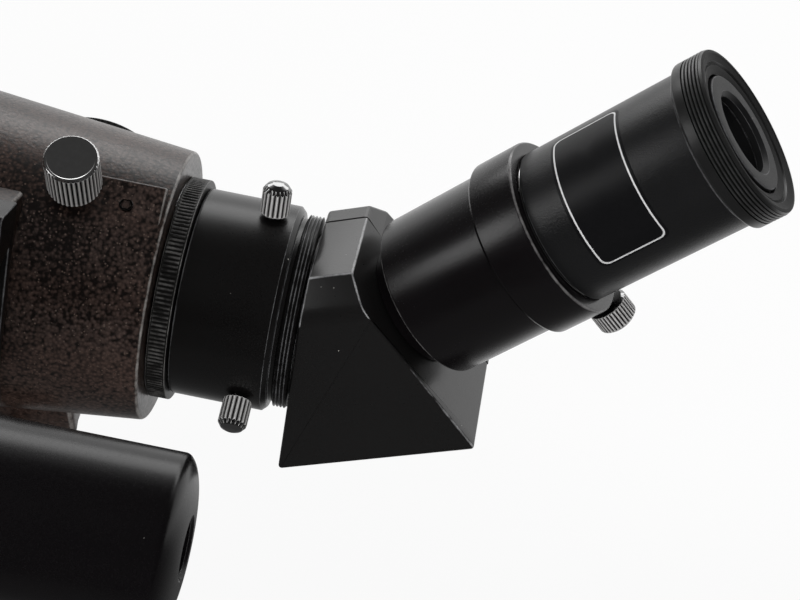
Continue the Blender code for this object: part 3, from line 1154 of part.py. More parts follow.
def build_foot(optical, tube):
    ground = frame("bar_axis", (0, 0, 0), (0, 0, 1), (1, 0, 0))
    half = BAR_LENGTH / 2
    bar = outline("dovetail_bar", [(0, -BAR_HALF_WIDTH), (BAR_HEIGHT, -BAR_TOP_HALF_WIDTH), (BAR_HEIGHT,
        BAR_TOP_HALF_WIDTH), (0, BAR_HALF_WIDTH)], -half, half, ground, BLACK_PAINT)
    soften(bar, BAR_EDGE, 1)
    saddle_bottom = BAR_HEIGHT + SEAT_GAP
    saddle = box("saddle", (saddle_bottom, -SADDLE_HALF_WIDTH, -SADDLE_LENGTH / 2),
        (AXIS_HEIGHT - TUBE_RADIUS * 0.8, SADDLE_HALF_WIDTH, SADDLE_LENGTH / 2), ground, BLACK_PAINT,
        edge=BAR_EDGE)
    tube_room = TUBE_RADIUS + SEAT_GAP
    hollow = turned("saddle_hollow", [(0, TUBE_REAR), (tube_room, TUBE_REAR), (tube_room, TUBE_FRONT), (0,
        TUBE_FRONT)], optical, ring=False)
    cut(saddle, hollow)
    nut_floor = AXIS_HEIGHT - TUBE_BORE + NUT_SEAT
    spots = [(BOLT_SUNK + BOLT_HEAD_HEIGHT, 0, side * BOLT_SPACING / 2) for side in (-1, 1)]
    bolt_length = nut_floor + NUT_HEIGHT - BOLT_SUNK - BOLT_HEAD_HEIGHT
    head_room = rods("bolt_heads", [((-CUT_PAST, y, z), (x + SEAT_GAP, y, z)) for x, y, z in spots],
                     BOLT_HEAD + HOLE_GAP, ground, sides=SIDES_SMALL)
    shank_room = rods("bolt_shanks", [((x - CUT_PAST, y, z), (nut_floor + NUT_HEIGHT + CUT_PAST, y, z))
        for x, y, z in spots], BOLT_RADIUS + HOLE_GAP, ground)
    cut(bar, head_room)
    for item in (bar, saddle, tube):
        cut(item, shank_room)
    small_screws("saddle_bolt", spots, (-1, 0, 0), BOLT_RADIUS, bolt_length, BOLT_HEAD, BOLT_HEAD_HEIGHT,
        ground)
    plate_half = BOLT_SPACING / 2 + 2 * NUT_HALF_WIDTH
    plate = box("nut_plate", (nut_floor, -NUT_HALF_WIDTH, -plate_half),
                (nut_floor + NUT_HEIGHT, NUT_HALF_WIDTH, plate_half), ground, STEEL)
    cut(plate, shank_room)


def main():
    clear_scene()
    optical = frame("optical_axis", (REAR_FACE_X, 0, AXIS_HEIGHT), (0, 0, 1), (1, 0, 0))
    tube = build_tube(optical)
    build_objective(optical)
    housing, shoe_axis = build_housing(optical, tube)
    build_drawtube(optical)
    build_pinion(optical)
    build_adapter(optical)
    eye_axis = build_diagonal(optical)
    build_holder(eye_axis)
    build_eyepiece(eye_axis)
    build_shoe(shoe_axis, housing)
    finder_axis = frame("finder_axis", (FINDER_HEIGHT, 0, 0), (1, 0, 0), (0, 0, 1), shoe_axis)
    build_bracket(shoe_axis, finder_axis)
    build_finder(finder_axis)
    build_foot(optical, tube)
    for item in bpy.data.collections["refractor_telescope"].objects:
        if item.type == "MESH":
            shade(item.data)


main()
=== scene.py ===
import math

import bmesh
import bpy
import numpy as np
from mathutils import Matrix


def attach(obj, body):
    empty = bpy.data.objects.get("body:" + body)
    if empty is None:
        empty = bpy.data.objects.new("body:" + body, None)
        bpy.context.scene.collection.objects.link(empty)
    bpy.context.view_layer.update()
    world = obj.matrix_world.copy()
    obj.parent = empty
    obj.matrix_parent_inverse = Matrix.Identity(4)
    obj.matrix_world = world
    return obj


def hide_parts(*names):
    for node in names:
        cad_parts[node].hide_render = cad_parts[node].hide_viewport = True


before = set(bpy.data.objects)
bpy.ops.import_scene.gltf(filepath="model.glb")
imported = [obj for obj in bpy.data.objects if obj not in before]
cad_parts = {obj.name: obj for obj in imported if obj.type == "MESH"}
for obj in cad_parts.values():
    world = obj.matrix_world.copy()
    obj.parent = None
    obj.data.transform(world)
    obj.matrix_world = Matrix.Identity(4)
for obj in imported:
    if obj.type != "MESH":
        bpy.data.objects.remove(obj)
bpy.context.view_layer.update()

print("frame loaded:", len(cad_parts), "solids")

# Lengths below are millimetres, and become metres where a mesh is made
mm = 0.001


# Frames: an origin and three axis rows; x points up or outwards, z along the piece
def makeFrame(origin, up, along):
    x = np.asarray(up, float) / np.linalg.norm(up)
    z = np.asarray(along, float) / np.linalg.norm(along)
    return np.asarray(origin, float), np.array([x, np.cross(z, x), z])


def inside(parent, origin, up, along):  # a frame given in another frame's own directions
    start, axes = parent
    turned = [np.asarray(v, float) @ axes for v in (origin, up, along)]
    return makeFrame(start + turned[0], turned[1], turned[2])


def radialAxis(parent, angle, along):  # z points outwards, angle from the parent's x towards its y
    turn = math.radians(angle)
    return inside(parent, (0, 0, along), (0, 0, 1), (math.cos(turn), math.sin(turn), 0))


places = {
    "rearFace": 170.0, "axisHeight": 66.0, "turnPoint": 43.96, "bendTurn": 23.7, "bend": 45.0,
    "shoeAngle": 50.0, "finderHeight": 109.0, "pinionAlong": -30.3, "pinionDrop": 30.936,
}
lean = math.radians(places["bend"])
rollAway = math.radians(-places["bendTurn"])
shoeTurn = math.radians(places["shoeAngle"])
optical = makeFrame((places["rearFace"], 0, places["axisHeight"]), (0, 0, 1), (1, 0, 0))
bendPlane = inside(optical, (0, 0, places["turnPoint"]), (math.cos(rollAway), math.sin(rollAway), 0),
                   (0, 0, 1))
eyeAxis = inside(bendPlane, (0, 0, 0), (-math.cos(lean), 0, math.sin(lean)),
                 (math.sin(lean), 0, math.cos(lean)))
shoeAxis = inside(optical, (0, 0, 0), (math.cos(shoeTurn), math.sin(shoeTurn), 0), (0, 0, 1))
finderAxis = inside(shoeAxis, (places["finderHeight"], 0, 0), (1, 0, 0), (0, 0, 1))
pinionAxis = inside(optical, (-places["pinionDrop"], 0, places["pinionAlong"]), (1, 0, 0), (0, 1, 0))
pinionFar = inside(pinionAxis, (0, 0, 0), (1, 0, 0), (0, 0, -1))


# Each corner (a, b, radius, wear) becomes an arc that touches both of its sides.
# Rows of the result are a, b and an edge mask that peaks in the middle of an arc.
def softLine(corners, closed=True, steps=5):
    points = np.array([(*corner, *(0.0, 1.0)[len(corner) - 2:]) for corner in corners], float)
    parts = []
    for k, (a, b, radius, wear) in enumerate(points):
        here = np.array([a, b])
        if radius <= 0 or (not closed and k in (0, len(points) - 1)):
            parts.append(np.array([[a, b, 0.0]]))
            continue
        back, ahead = points[k - 1, :2] - here, points[(k + 1) % len(points), :2] - here
        backLength, aheadLength = np.linalg.norm(back), np.linalg.norm(ahead)
        back, ahead = back / backLength, ahead / aheadLength
        half = math.acos(float(np.clip(back @ ahead, -1, 1))) / 2
        if half > math.radians(88):
            parts.append(np.array([[a, b, 0.0]]))
            continue
        reach = min(radius / math.tan(half), 0.48 * backLength, 0.48 * aheadLength)
        middle = back + ahead
        centre = here + middle / np.linalg.norm(middle) * reach / math.cos(half)
        share = np.linspace(0, 1, steps + 1)[:, None]
        sweep = math.pi - 2 * half
        arc = (np.sin((1 - share) * sweep) * (here + back * reach - centre)
               + np.sin(share * sweep) * (here + ahead * reach - centre)) / math.sin(sweep)
        parts.append(np.hstack([centre + arc, np.sin(math.pi * share) * wear]))
    return np.vstack(parts)


def boxOutline(a0, b0, a1, b1, radius):  # a rectangle with four round corners
    return softLine([(a0, b0, radius), (a1, b0, radius), (a1, b1, radius), (a0, b1, radius)])


# A shallow groove round a turned piece: its sides slope in from both ends to the depth
def grooveCorners(radius, depth, start, end, soft=0.0, slope=0.6):
    return [(radius, start, soft), (radius - depth, start - slope, 0.2),
            (radius - depth, end + slope, 0.2), (radius, end, soft)]


# Unit directions into a closed outline, square to the line between each point's neighbours
def inwards(flat):
    ahead = np.roll(flat, -1, 0) - np.roll(flat, 1, 0)
    normal = np.stack([ahead[:, 1], -ahead[:, 0]], -1) / np.linalg.norm(ahead, axis=1)[:, None]
    area = np.sum(flat[:, 0] * np.roll(flat[:, 1], -1) - np.roll(flat[:, 0], -1) * flat[:, 1])
    return -normal * np.sign(area)


# Four-sided faces between the rows of a grid. Each row is a closed loop; the last row may join the first.
def gridFaces(grid, closedRows=False):
    index = np.arange(grid.shape[0] * grid.shape[1]).reshape(grid.shape[:2])
    upper = index if closedRows else index[:-1]
    lower = np.roll(index, -1, 0) if closedRows else index[1:]
    return np.stack([upper, lower, np.roll(lower, -1, 1), np.roll(upper, -1, 1)], -1).reshape(-1, 4).tolist()


def endCaps(grid):  # the first and the last row of a grid as two faces
    rows, count = grid.shape[:2]
    return [list(range(count)), list(range(rows * count - 1, rows * count - count - 1, -1))]


# Points in a frame's own millimetres become a closed mesh with an edge mask for wear
def meshFrom(name, local, faces, mask, frameAt, sharp=38):
    origin, axes = frameAt
    world = (origin + local.reshape(-1, 3) @ axes) * mm
    mesh = bpy.data.meshes.new(name)
    mesh.from_pydata(world.tolist(), [], faces)
    edge = mesh.attributes.new("edge", "FLOAT", "POINT")
    edge.data.foreach_set("value", np.asarray(mask, np.float32).ravel())
    shape = bmesh.new()
    shape.from_mesh(mesh)
    bmesh.ops.remove_doubles(shape, verts=shape.verts, dist=0.000002)
    bmesh.ops.recalc_face_normals(shape, faces=shape.faces)
    shape.to_mesh(mesh)
    shape.free()
    mesh.shade_smooth()
    mesh.set_sharp_from_angle(angle=math.radians(sharp))
    return mesh


# A line of (radius, along) carried round the axis: x = r cos t, y = r sin t, z = along.
# ripple(turn, along, radius) adds to the radius for knurls, threads and sockets, and crest marks its ridges
# in the edge mask, which carries wear, a painted sheen on the thread, and painted shade in the valleys of
# fluted screws.
def turnedMesh(name, line, frameAt, count=96, ring=True, ripple=None, sharp=38, crest=0.0):
    turn = np.arange(count) * 2 * math.pi / count
    radius = np.repeat(line[:, :1], count, 1)
    along = np.repeat(line[:, 1:2], count, 1)
    mask = np.repeat(line[:, 2:3], count, 1)
    if ripple is not None:
        added = ripple(turn[None, :], along, radius)
        radius = radius + added
        if crest:
            depth = added / added.min()
            mask = np.where((depth > 0).any(1)[:, None], (1 - depth) * crest, mask)
    grid = np.stack([radius * np.cos(turn), radius * np.sin(turn), along], -1)
    return meshFrom(name, grid, gridFaces(grid, ring), mask, frameAt, sharp)


# A closed outline (a, b) carried from level low to level high, drawn in over a quarter round at both ends.
# order says which of the frame's axes a, b and the level run along.
def carriedMesh(name, outline, low, high, frameAt, order, softness, steps=4):
    flat, mask = outline[:, :2], outline[:, 2]
    drawnIn = inwards(flat)
    quarter = np.linspace(0, math.pi / 2, steps + 1)
    inset = softness * (1 - np.sin(quarter))
    rise = softness * (1 - np.cos(quarter))
    rounded = np.sin(2 * quarter)
    lowEnd = [(k, low + rise[k]) for k in range(steps + 1)]
    highEnd = [(k, high - rise[k]) for k in reversed(range(steps + 1))]
    rows, masks = [], []
    for k, level in lowEnd + highEnd:
        rows.append(np.column_stack([flat + drawnIn * inset[k], np.full(len(flat), level)]))
        masks.append(np.maximum(mask * 0.5, rounded[k]))
    masks[0], masks[-1] = mask * 0, mask * 0
    grid = np.empty((len(rows), len(flat), 3))
    grid[..., list(order)] = np.stack(rows)
    return meshFrom(name, grid, gridFaces(grid) + endCaps(grid), np.stack(masks), frameAt)


# A knurl between two places on a piece's outer side: count ridges of that depth, rounded like a rope
def knurl(count, depth, start, end, least, fadeOver=0.35):
    def ripple(turn, along, radius):
        wave = np.abs(np.cos(turn * count / 2)) ** 0.7 - 1
        fade = np.clip(np.minimum(along - start, end - along) / fadeOver, 0, 1)
        return np.where(radius > least, depth * wave * fade, 0)
    return ripple


# A six-sided socket: the recess rows below this radius follow a hexagon
def hexSocket(most):
    def ripple(turn, along, radius):
        wedge = np.mod(turn, math.pi / 3) - math.pi / 6
        return np.where(radius < most, radius * (0.92 / np.cos(wedge) - 1), 0)
    return ripple


# Every piece of the scene rides a body; most of them also stand in for solids of the frame
def addPiece(name, mesh, finish, body, nodes=()):
    piece = bpy.data.objects.new(name, mesh)
    bpy.context.scene.collection.objects.link(piece)
    mesh.materials.append(finish)
    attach(piece, body)
    if nodes:
        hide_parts(*nodes)
    return piece


# A turned piece that stands in for one solid, or rides along with none
def addTurned(name, line, axis, count, finish, body, node, slotName, **shape):
    mesh = turnedMesh(name, line, axis, count, **shape)
    addPiece(name, mesh, finish, body, [node] if node else [])
    return mesh


# A second finish on the faces of a turned piece that chosen(radius, outward, lengthwise) picks, by how far
# from the axis a face lies and how much it looks away from the axis and along it
def paintFaces(mesh, axis, finish, chosen):
    faces = len(mesh.polygons)
    centres, normals = np.empty(faces * 3), np.empty(faces * 3)
    mesh.polygons.foreach_get("center", centres)
    mesh.polygons.foreach_get("normal", normals)
    origin, axes = axis
    local, looks = (centres.reshape(-1, 3) / mm - origin) @ axes.T, normals.reshape(-1, 3) @ axes.T
    radius = np.hypot(local[:, 0], local[:, 1])
    outward = (local[:, 0] * looks[:, 0] + local[:, 1] * looks[:, 1]) / np.maximum(radius, 1e-6)
    mesh.materials.append(finish)
    mesh.polygons.foreach_set("material_index", chosen(radius, outward, looks[:, 2]).astype(np.int32))


# Half the outline of a hand screw, in (radius, along): crown, fluted side, foot, shank and tip.
# The crown's points and the rim are given by their drop from the top; soft rounds side, foot, shank and tip.
def handScrewLine(look):
    radius, base, top, shank, tip = (look[k] for k in ("radius", "base", "top", "shank", "tip"))
    rimDrop, rimSoft = look["rim"]
    bareTop, bareBase = look["bare"]
    foot, footRise = look["foot"]
    sideSoft, footSoft, shankSoft, tipSoft = look["soft"]
    crown = [(out, top - drop, soft) for out, drop, soft in look["crown"]]
    side = [(radius, top - rimDrop, rimSoft), (radius, top - bareTop), (radius, base + bareBase),
            (radius, base + footRise, sideSoft)]
    below = [(foot, base, footSoft), (shank, base, shankSoft), (shank, tip, tipSoft), (0, tip)]
    return softLine(crown + side + below, closed=False)


def screwFlutes(look):  # the knurl between a hand screw's base and top
    fromBase, fromTop = look["fluted"]
    return knurl(look["flutes"], look["depth"], look["base"] + fromBase, look["top"] - fromTop,
                 look["radius"] - 0.3)


# A bright screw, whose fluted side has painted shade in its valleys and near-white crests painted as
# highlights
def addBrightScrew(name, look, axis, body, node, finish):
    def onSide(radius, outward, lengthwise):
        return (radius > look["sideFrom"]) & (np.abs(lengthwise) < 0.4)

    line = handScrewLine(look) * (1, 1, 0) + (0, 0, 1)
    mesh = addTurned(name, line, axis, look["count"], finish, body, node, "chrome", ring=False,
                     ripple=screwFlutes(look), crest=1.0)
    paintFaces(mesh, axis, flutedChromeWithPaintedLight, onSide)


# A shader group with number sockets: inputs with their defaults, and outputs
def newGroup(name, inputs, outputs):
    group = bpy.data.node_groups.new(name, "ShaderNodeTree")
    for label, value in inputs:
        group.interface.new_socket(label, in_out="INPUT",
                                   socket_type="NodeSocketFloat").default_value = value
    for label in outputs:
        group.interface.new_socket(label, in_out="OUTPUT", socket_type="NodeSocketFloat")
    return group, group.nodes.new("NodeGroupInput"), group.nodes.new("NodeGroupOutput")


# A node with its settings, and constants on its own sockets
def addNode(tree, kind, settings=None, **values):
    node = tree.nodes.new(kind)
    for key, value in (settings or {}).items():
        setattr(node, key, value)
    for key, value in values.items():
        node.inputs[key.replace("_", " ")].default_value = value
    return node


# One sum; first and second are sockets or numbers
def maths(tree, operation, first, second, clamp=False):
    node = addNode(tree, "ShaderNodeMath", {"operation": operation, "use_clamp": clamp})
    for socket, value in zip(node.inputs, (first, second)):
        if hasattr(value, "is_linked"):
            tree.links.new(value, socket)
        else:
            socket.default_value = value
    return node.outputs[0]


# A number carried from one range to another, evenly or eased at both ends
def mapRange(tree, value, fromRange, toRange=(0.0, 1.0), eased=False):
    node = addNode(tree, "ShaderNodeMapRange", {"interpolation_type": "SMOOTHSTEP" if eased else "LINEAR"})
    for label, number in zip(("From Min", "From Max", "To Min", "To Max"), (*fromRange, *toRange)):
        node.inputs[label].default_value = number
    tree.links.new(value, node.inputs["Value"])
    return node.outputs["Result"]


# Grain: fine noise mixed with cells; Height for the bump, Shade for tone, Speck for bright flakes
def makeGrainGroup():
    group, given, result = newGroup("surfaceGrain", [("Scale", 900.0), ("Cells", 0.3), ("Flakes", 0.0)],
                                    ["Height", "Shade", "Speck"])
    where = addNode(group, "ShaderNodeTexCoord").outputs["Object"]
    noise = addNode(group, "ShaderNodeTexNoise", Detail=4.0, Roughness=0.6)
    cells = addNode(group, "ShaderNodeTexVoronoi", {"feature": "SMOOTH_F1"}, Smoothness=0.6)
    flakes = addNode(group, "ShaderNodeTexVoronoi")
    broad = addNode(group, "ShaderNodeTexNoise", Scale=38.0, Detail=3.0)
    for node in (noise, cells, flakes, broad):
        group.links.new(where, node.inputs["Vector"])
    for node in (noise, cells):
        group.links.new(given.outputs["Scale"], node.inputs["Scale"])
    group.links.new(maths(group, "MULTIPLY", given.outputs["Scale"], 1.7), flakes.inputs["Scale"])
    mixed = addNode(group, "ShaderNodeMix")
    group.links.new(given.outputs["Cells"], mixed.inputs["Factor"])
    group.links.new(noise.outputs["Fac"], mixed.inputs["A"])
    group.links.new(cells.outputs["Distance"], mixed.inputs["B"])
    group.links.new(mixed.outputs["Result"], result.inputs["Height"])
    shade = addNode(group, "ShaderNodeMix", Factor=0.4)
    group.links.new(mixed.outputs["Result"], shade.inputs["A"])
    group.links.new(broad.outputs["Fac"], shade.inputs["B"])
    group.links.new(shade.outputs["Result"], result.inputs["Shade"])
    split = addNode(group, "ShaderNodeSeparateColor")
    group.links.new(flakes.outputs["Color"], split.inputs["Color"])
    chosen = maths(group, "LESS_THAN", split.outputs["Red"], given.outputs["Flakes"])
    near = maths(group, "LESS_THAN", flakes.outputs["Distance"], 0.42)
    group.links.new(maths(group, "MULTIPLY", chosen, near), result.inputs["Speck"])
    return group


# Dust: sparse small dots, only in some cells of a coarse lattice
def makeDustGroup():
    group, given, result = newGroup("looseDust", [("Scale", 260.0), ("Amount", 0.1)], ["Mask"])
    where = addNode(group, "ShaderNodeTexCoord").outputs["Object"]
    dots = addNode(group, "ShaderNodeTexVoronoi")
    group.links.new(where, dots.inputs["Vector"])
    group.links.new(given.outputs["Scale"], dots.inputs["Scale"])
    split = addNode(group, "ShaderNodeSeparateColor")
    group.links.new(dots.outputs["Color"], split.inputs["Color"])
    chosen = maths(group, "LESS_THAN", split.outputs["Green"], given.outputs["Amount"])
    size = maths(group, "MULTIPLY", split.outputs["Blue"], 0.16)
    near = maths(group, "LESS_THAN", dots.outputs["Distance"], size)
    group.links.new(maths(group, "MULTIPLY", chosen, near), result.inputs["Mask"])
    return group


# Wear: the edge mask of the mesh, broken up by noise
def makeWearGroup():
    group, given, result = newGroup("edgeWear", [("Amount", 0.5), ("Scale", 300.0)], ["Mask"])
    where = addNode(group, "ShaderNodeTexCoord").outputs["Object"]
    noise = addNode(group, "ShaderNodeTexNoise", Detail=4.0, Roughness=0.7)
    group.links.new(where, noise.inputs["Vector"])
    group.links.new(given.outputs["Scale"], noise.inputs["Scale"])
    edge = addNode(group, "ShaderNodeAttribute", {"attribute_name": "edge"})
    patchy = maths(group, "MULTIPLY", edge.outputs["Fac"], noise.outputs["Fac"])
    raised = maths(group, "SUBTRACT", maths(group, "MULTIPLY", patchy, 2.4), 0.55, clamp=True)
    group.links.new(maths(group, "MULTIPLY", raised, given.outputs["Amount"], clamp=True),
                    result.inputs["Mask"])
    return group


grainGroup, dustGroup, wearGroup = makeGrainGroup(), makeDustGroup(), makeWearGroup()


def placeGroup(tree, group, **values):
    node = addNode(tree, "ShaderNodeGroup", {"node_tree": group})
    for key, value in values.items():
        node.inputs[key].default_value = value
    return node


# Two colours, sockets or triples, mixed by a factor
def mixColour(tree, factor, first, second):
    node = addNode(tree, "ShaderNodeMix", {"data_type": "RGBA"})
    tree.links.new(factor, node.inputs[0])
    for socket, value in zip((node.inputs[6], node.inputs[7]), (first, second)):
        if hasattr(value, "is_linked"):
            tree.links.new(value, socket)
        else:
            socket.default_value = (*value, 1)
    return node.outputs[2]


dustColour = (0.35, 0.34, 0.32)


# One finish: two tones mixed by the grain, flakes, painted shade in grooves, worn edges, dust, rough range
# and bump
def surfaceFinish(name, look):
    material = bpy.data.materials.new(name)
    material.use_nodes = True
    tree = material.node_tree
    shader = tree.nodes["Principled BSDF"]
    shader.inputs["Metallic"].default_value = look.get("metal", 0.0)
    shader.inputs["Specular IOR Level"].default_value = look.get("specular", 0.5)
    grain = placeGroup(tree, grainGroup, Scale=look["grain"], Cells=look.get("cells", 0.0),
                       Flakes=look.get("flakes", 0.0))
    spread = 0.5 / look.get("contrast", 1.0)
    centre = look.get("centre", 0.5)
    tone = mapRange(tree, grain.outputs["Shade"], (centre - spread, centre + spread))
    colour = mixColour(tree, tone, look["dark"], look["light"])
    if look.get("flakes"):
        colour = mixColour(tree, grain.outputs["Speck"], colour, look["flakeColour"])
    # Painted shade: the edge mask mixes the valleys between a piece's ridges towards the near-black groove
    # colour
    if look.get("groove"):
        ridge = addNode(tree, "ShaderNodeAttribute", {"attribute_name": "edge"})
        colour = mixColour(tree, maths(tree, "POWER", ridge.outputs["Fac"], 4.0), look["groove"], colour)
    if look.get("wear"):
        wear = placeGroup(tree, wearGroup, Amount=look["wear"])
        colour = mixColour(tree, wear.outputs["Mask"], colour, look["worn"])
    if look.get("dust"):
        dust = placeGroup(tree, dustGroup, Scale=look["dustScale"], Amount=look["dust"])
        colour = mixColour(tree, dust.outputs["Mask"], colour, dustColour)
    tree.links.new(colour, shader.inputs["Base Color"])
    rough = mapRange(tree, grain.outputs["Shade"], (0.25, 0.75), look["rough"])
    tree.links.new(rough, shader.inputs["Roughness"])
    bump = addNode(tree, "ShaderNodeBump", Strength=look.get("bump", 0.1),
                   Distance=look.get("bumpDepth", 0.0002))
    tree.links.new(grain.outputs["Height"], bump.inputs["Height"])
    tree.links.new(bump.outputs["Normal"], shader.inputs["Normal"])
    return material


housingPaint = surfaceFinish("speckledHousingPaint", {
    "dark": (0.070, 0.044, 0.036), "light": (0.0048, 0.0032, 0.0027), "grain": 1250.0, "cells": 0.45,
    "contrast": 4.0, "centre": 0.47, "flakes": 0.08, "flakeColour": (0.075, 0.052, 0.042), "wear": 0.7,
    "worn": (0.45, 0.43, 0.41), "rough": (0.24, 0.40), "bump": 0.30, "bumpDepth": 0.0002, "specular": 0.4})
tubePaint = surfaceFinish("speckledTubePaint", {
    "dark": (0.062, 0.040, 0.033), "light": (0.0048, 0.0034, 0.0029), "grain": 1250.0, "cells": 0.45,
    "contrast": 4.0, "centre": 0.45, "flakes": 0.08, "flakeColour": (0.065, 0.047, 0.038), "wear": 0.5,
    "worn": (0.35, 0.33, 0.31), "rough": (0.24, 0.38), "bump": 0.25, "bumpDepth": 0.0002, "specular": 0.4})
satinBlack = surfaceFinish("satinBlackMetal", {
    "dark": (0.0024, 0.0022, 0.0022), "light": (0.0062, 0.0057, 0.0057), "grain": 2600.0, "cells": 0.2,
    "wear": 0.6, "worn": (0.28, 0.28, 0.29), "rough": (0.24, 0.34), "bump": 0.06, "dust": 0.03,
    "dustScale": 520.0, "specular": 0.36})
ringBlack = surfaceFinish("knurledRingBlack", {
    "dark": (0.0040, 0.0038, 0.0038), "light": (0.011, 0.0105, 0.010), "grain": 2200.0, "wear": 0.8,
    "worn": (0.30, 0.29, 0.28), "rough": (0.34, 0.46), "bump": 0.08, "specular": 0.2})
caseBlack = surfaceFinish("diagonalCaseBlack", {
    "dark": (0.0042, 0.0040, 0.0040), "light": (0.0105, 0.0100, 0.0100), "grain": 1900.0, "cells": 0.35,
    "wear": 0.8, "worn": (0.42, 0.42, 0.43), "rough": (0.24, 0.36), "bump": 0.08, "dust": 0.05,
    "dustScale": 560.0})
holderBlack = surfaceFinish("holderBlack", {
    "dark": (0.0022, 0.0018, 0.0021), "light": (0.0056, 0.0045, 0.0051), "grain": 2200.0, "cells": 0.25,
    "wear": 0.6, "worn": (0.30, 0.29, 0.29), "rough": (0.20, 0.30), "bump": 0.14, "dust": 0.04,
    "dustScale": 520.0, "specular": 0.4})
eyepieceBlack = surfaceFinish("eyepieceBlack", {
    "dark": (0.0045, 0.0045, 0.0048), "light": (0.012, 0.012, 0.0127), "grain": 3000.0, "cells": 0.3,
    "wear": 0.6, "worn": (0.30, 0.30, 0.31), "rough": (0.26, 0.40), "bump": 0.40, "dust": 0.03,
    "dustScale": 520.0, "specular": 0.4})
cupRubber = surfaceFinish("eyecupRubber", {
    "dark": (0.0055, 0.0055, 0.0055), "light": (0.015, 0.015, 0.015), "grain": 1700.0, "cells": 0.2,
    "wear": 0.3, "worn": (0.10, 0.10, 0.10), "rough": (0.28, 0.42), "bump": 0.12, "dust": 0.04,
    "dustScale": 620.0, "specular": 0.4})
cupFace = surfaceFinish("eyecupFace", {
    "dark": (0.0050, 0.0050, 0.0050), "light": (0.013, 0.013, 0.013), "grain": 1700.0, "cells": 0.2,
    "rough": (0.40, 0.55), "bump": 0.12, "dust": 0.03, "dustScale": 620.0, "specular": 0.05})
plateGrey = surfaceFinish("eyePlateGrey", {
    "dark": (0.0060, 0.0060, 0.0064), "light": (0.015, 0.015, 0.0155), "grain": 2600.0, "wear": 0.5,
    "worn": (0.26, 0.26, 0.27), "rough": (0.36, 0.52), "bump": 0.08, "dust": 0.03, "dustScale": 620.0,
    "specular": 0.1})
panelBlack = surfaceFinish("labelPanelBlack", {
    "dark": (0.0030, 0.0030, 0.0034), "light": (0.0070, 0.0070, 0.0078), "grain": 1500.0,
    "rough": (0.34, 0.46), "bump": 0.02, "dust": 0.03, "dustScale": 520.0, "specular": 0.2})
panelLine = surfaceFinish("labelBorderSilver", {
    "dark": (0.55, 0.55, 0.56), "light": (0.80, 0.80, 0.80), "grain": 2400.0, "rough": (0.3, 0.5),
    "bump": 0.04})
finderBlack = surfaceFinish("finderGlossBlack", {
    "dark": (0.0018, 0.0015, 0.0018), "light": (0.0046, 0.0038, 0.0044), "grain": 1600.0, "wear": 0.4,
    "worn": (0.20, 0.20, 0.20), "rough": (0.20, 0.32), "bump": 0.03, "dust": 0.02, "dustScale": 520.0,
    "specular": 0.28})
knobBlack = surfaceFinish("focusKnobBlack", {
    "dark": (0.0050, 0.0050, 0.0050), "light": (0.014, 0.014, 0.014), "grain": 2000.0, "wear": 0.5,
    "worn": (0.18, 0.18, 0.18), "rough": (0.36, 0.52), "bump": 0.08, "dust": 0.04, "dustScale": 520.0,
    "specular": 0.4})
chromePlate = surfaceFinish("chromePlate", {
    "dark": (0.50, 0.49, 0.48), "light": (0.74, 0.74, 0.74), "grain": 900.0, "metal": 1.0,
    "rough": (0.06, 0.16), "bump": 0.02})
# Painted shade: a darker copy of the chrome, whose darker colour stands in for the dark surroundings the
# screw domes reflect
chromeShadedCopy = surfaceFinish("chromePlateShadedCopy", {
    "dark": (0.16, 0.16, 0.16), "light": (0.30, 0.30, 0.30), "grain": 900.0, "metal": 1.0,
    "rough": (0.06, 0.16), "bump": 0.02})
# Painted light: the flute valleys are painted near black as shade, and the near-white crests with little
# metal stand in for highlights
flutedChromeWithPaintedLight = surfaceFinish("flutedChromeWithPaintedLight", {
    "dark": (0.74, 0.73, 0.72), "light": (0.95, 0.94, 0.93), "grain": 1600.0, "metal": 0.3,
    "rough": (0.16, 0.26), "groove": (0.012, 0.011, 0.011), "bump": 0.03})
screwSteel = surfaceFinish("screwSteel", {
    "dark": (0.30, 0.30, 0.30), "light": (0.55, 0.55, 0.56), "grain": 1800.0, "metal": 1.0,
    "rough": (0.22, 0.40), "bump": 0.05, "wear": 0.4, "worn": (0.8, 0.8, 0.8)})
oxideSteel = surfaceFinish("oxideSteel", {
    "dark": (0.010, 0.009, 0.009), "light": (0.030, 0.028, 0.027), "grain": 1800.0, "metal": 1.0,
    "rough": (0.30, 0.45), "bump": 0.05, "wear": 0.5, "worn": (0.45, 0.44, 0.43)})
turnedAluminium = surfaceFinish("turnedAluminium", {
    "dark": (0.52, 0.52, 0.53), "light": (0.74, 0.74, 0.75), "grain": 1400.0, "metal": 1.0,
    "rough": (0.24, 0.38), "bump": 0.05})
gearBrass = surfaceFinish("gearBrass", {
    "dark": (0.48, 0.34, 0.13), "light": (0.75, 0.57, 0.27), "grain": 1300.0, "metal": 1.0,
    "rough": (0.22, 0.40), "bump": 0.05})
matteInner = surfaceFinish("matteInnerBlack", {
    "dark": (0.006, 0.006, 0.006), "light": (0.014, 0.014, 0.014), "grain": 1200.0, "rough": (0.75, 0.9),
    "bump": 0.1})


# Coated glass: clear, faintly tinted where dust lies
def glassFinish(name, tint):
    material = bpy.data.materials.new(name)
    material.use_nodes = True
    tree = material.node_tree
    shader = tree.nodes["Principled BSDF"]
    shader.inputs["Transmission Weight"].default_value = 1.0
    shader.inputs["IOR"].default_value = 1.5
    dust = placeGroup(tree, dustGroup, Scale=300.0, Amount=0.10)
    tree.links.new(mixColour(tree, dust.outputs["Mask"], tint, (0.5, 0.5, 0.48)),
                   shader.inputs["Base Color"])
    rough = mapRange(tree, dust.outputs["Mask"], (0.0, 1.0), (0.01, 0.35))
    tree.links.new(rough, shader.inputs["Roughness"])
    return material


coatedGlass = glassFinish("coatedGlass", (0.78, 0.88, 0.86))
eyeGlass = glassFinish("eyeLensGlass", (0.80, 0.82, 0.86))
print("finishes ready:", len(bpy.data.materials))


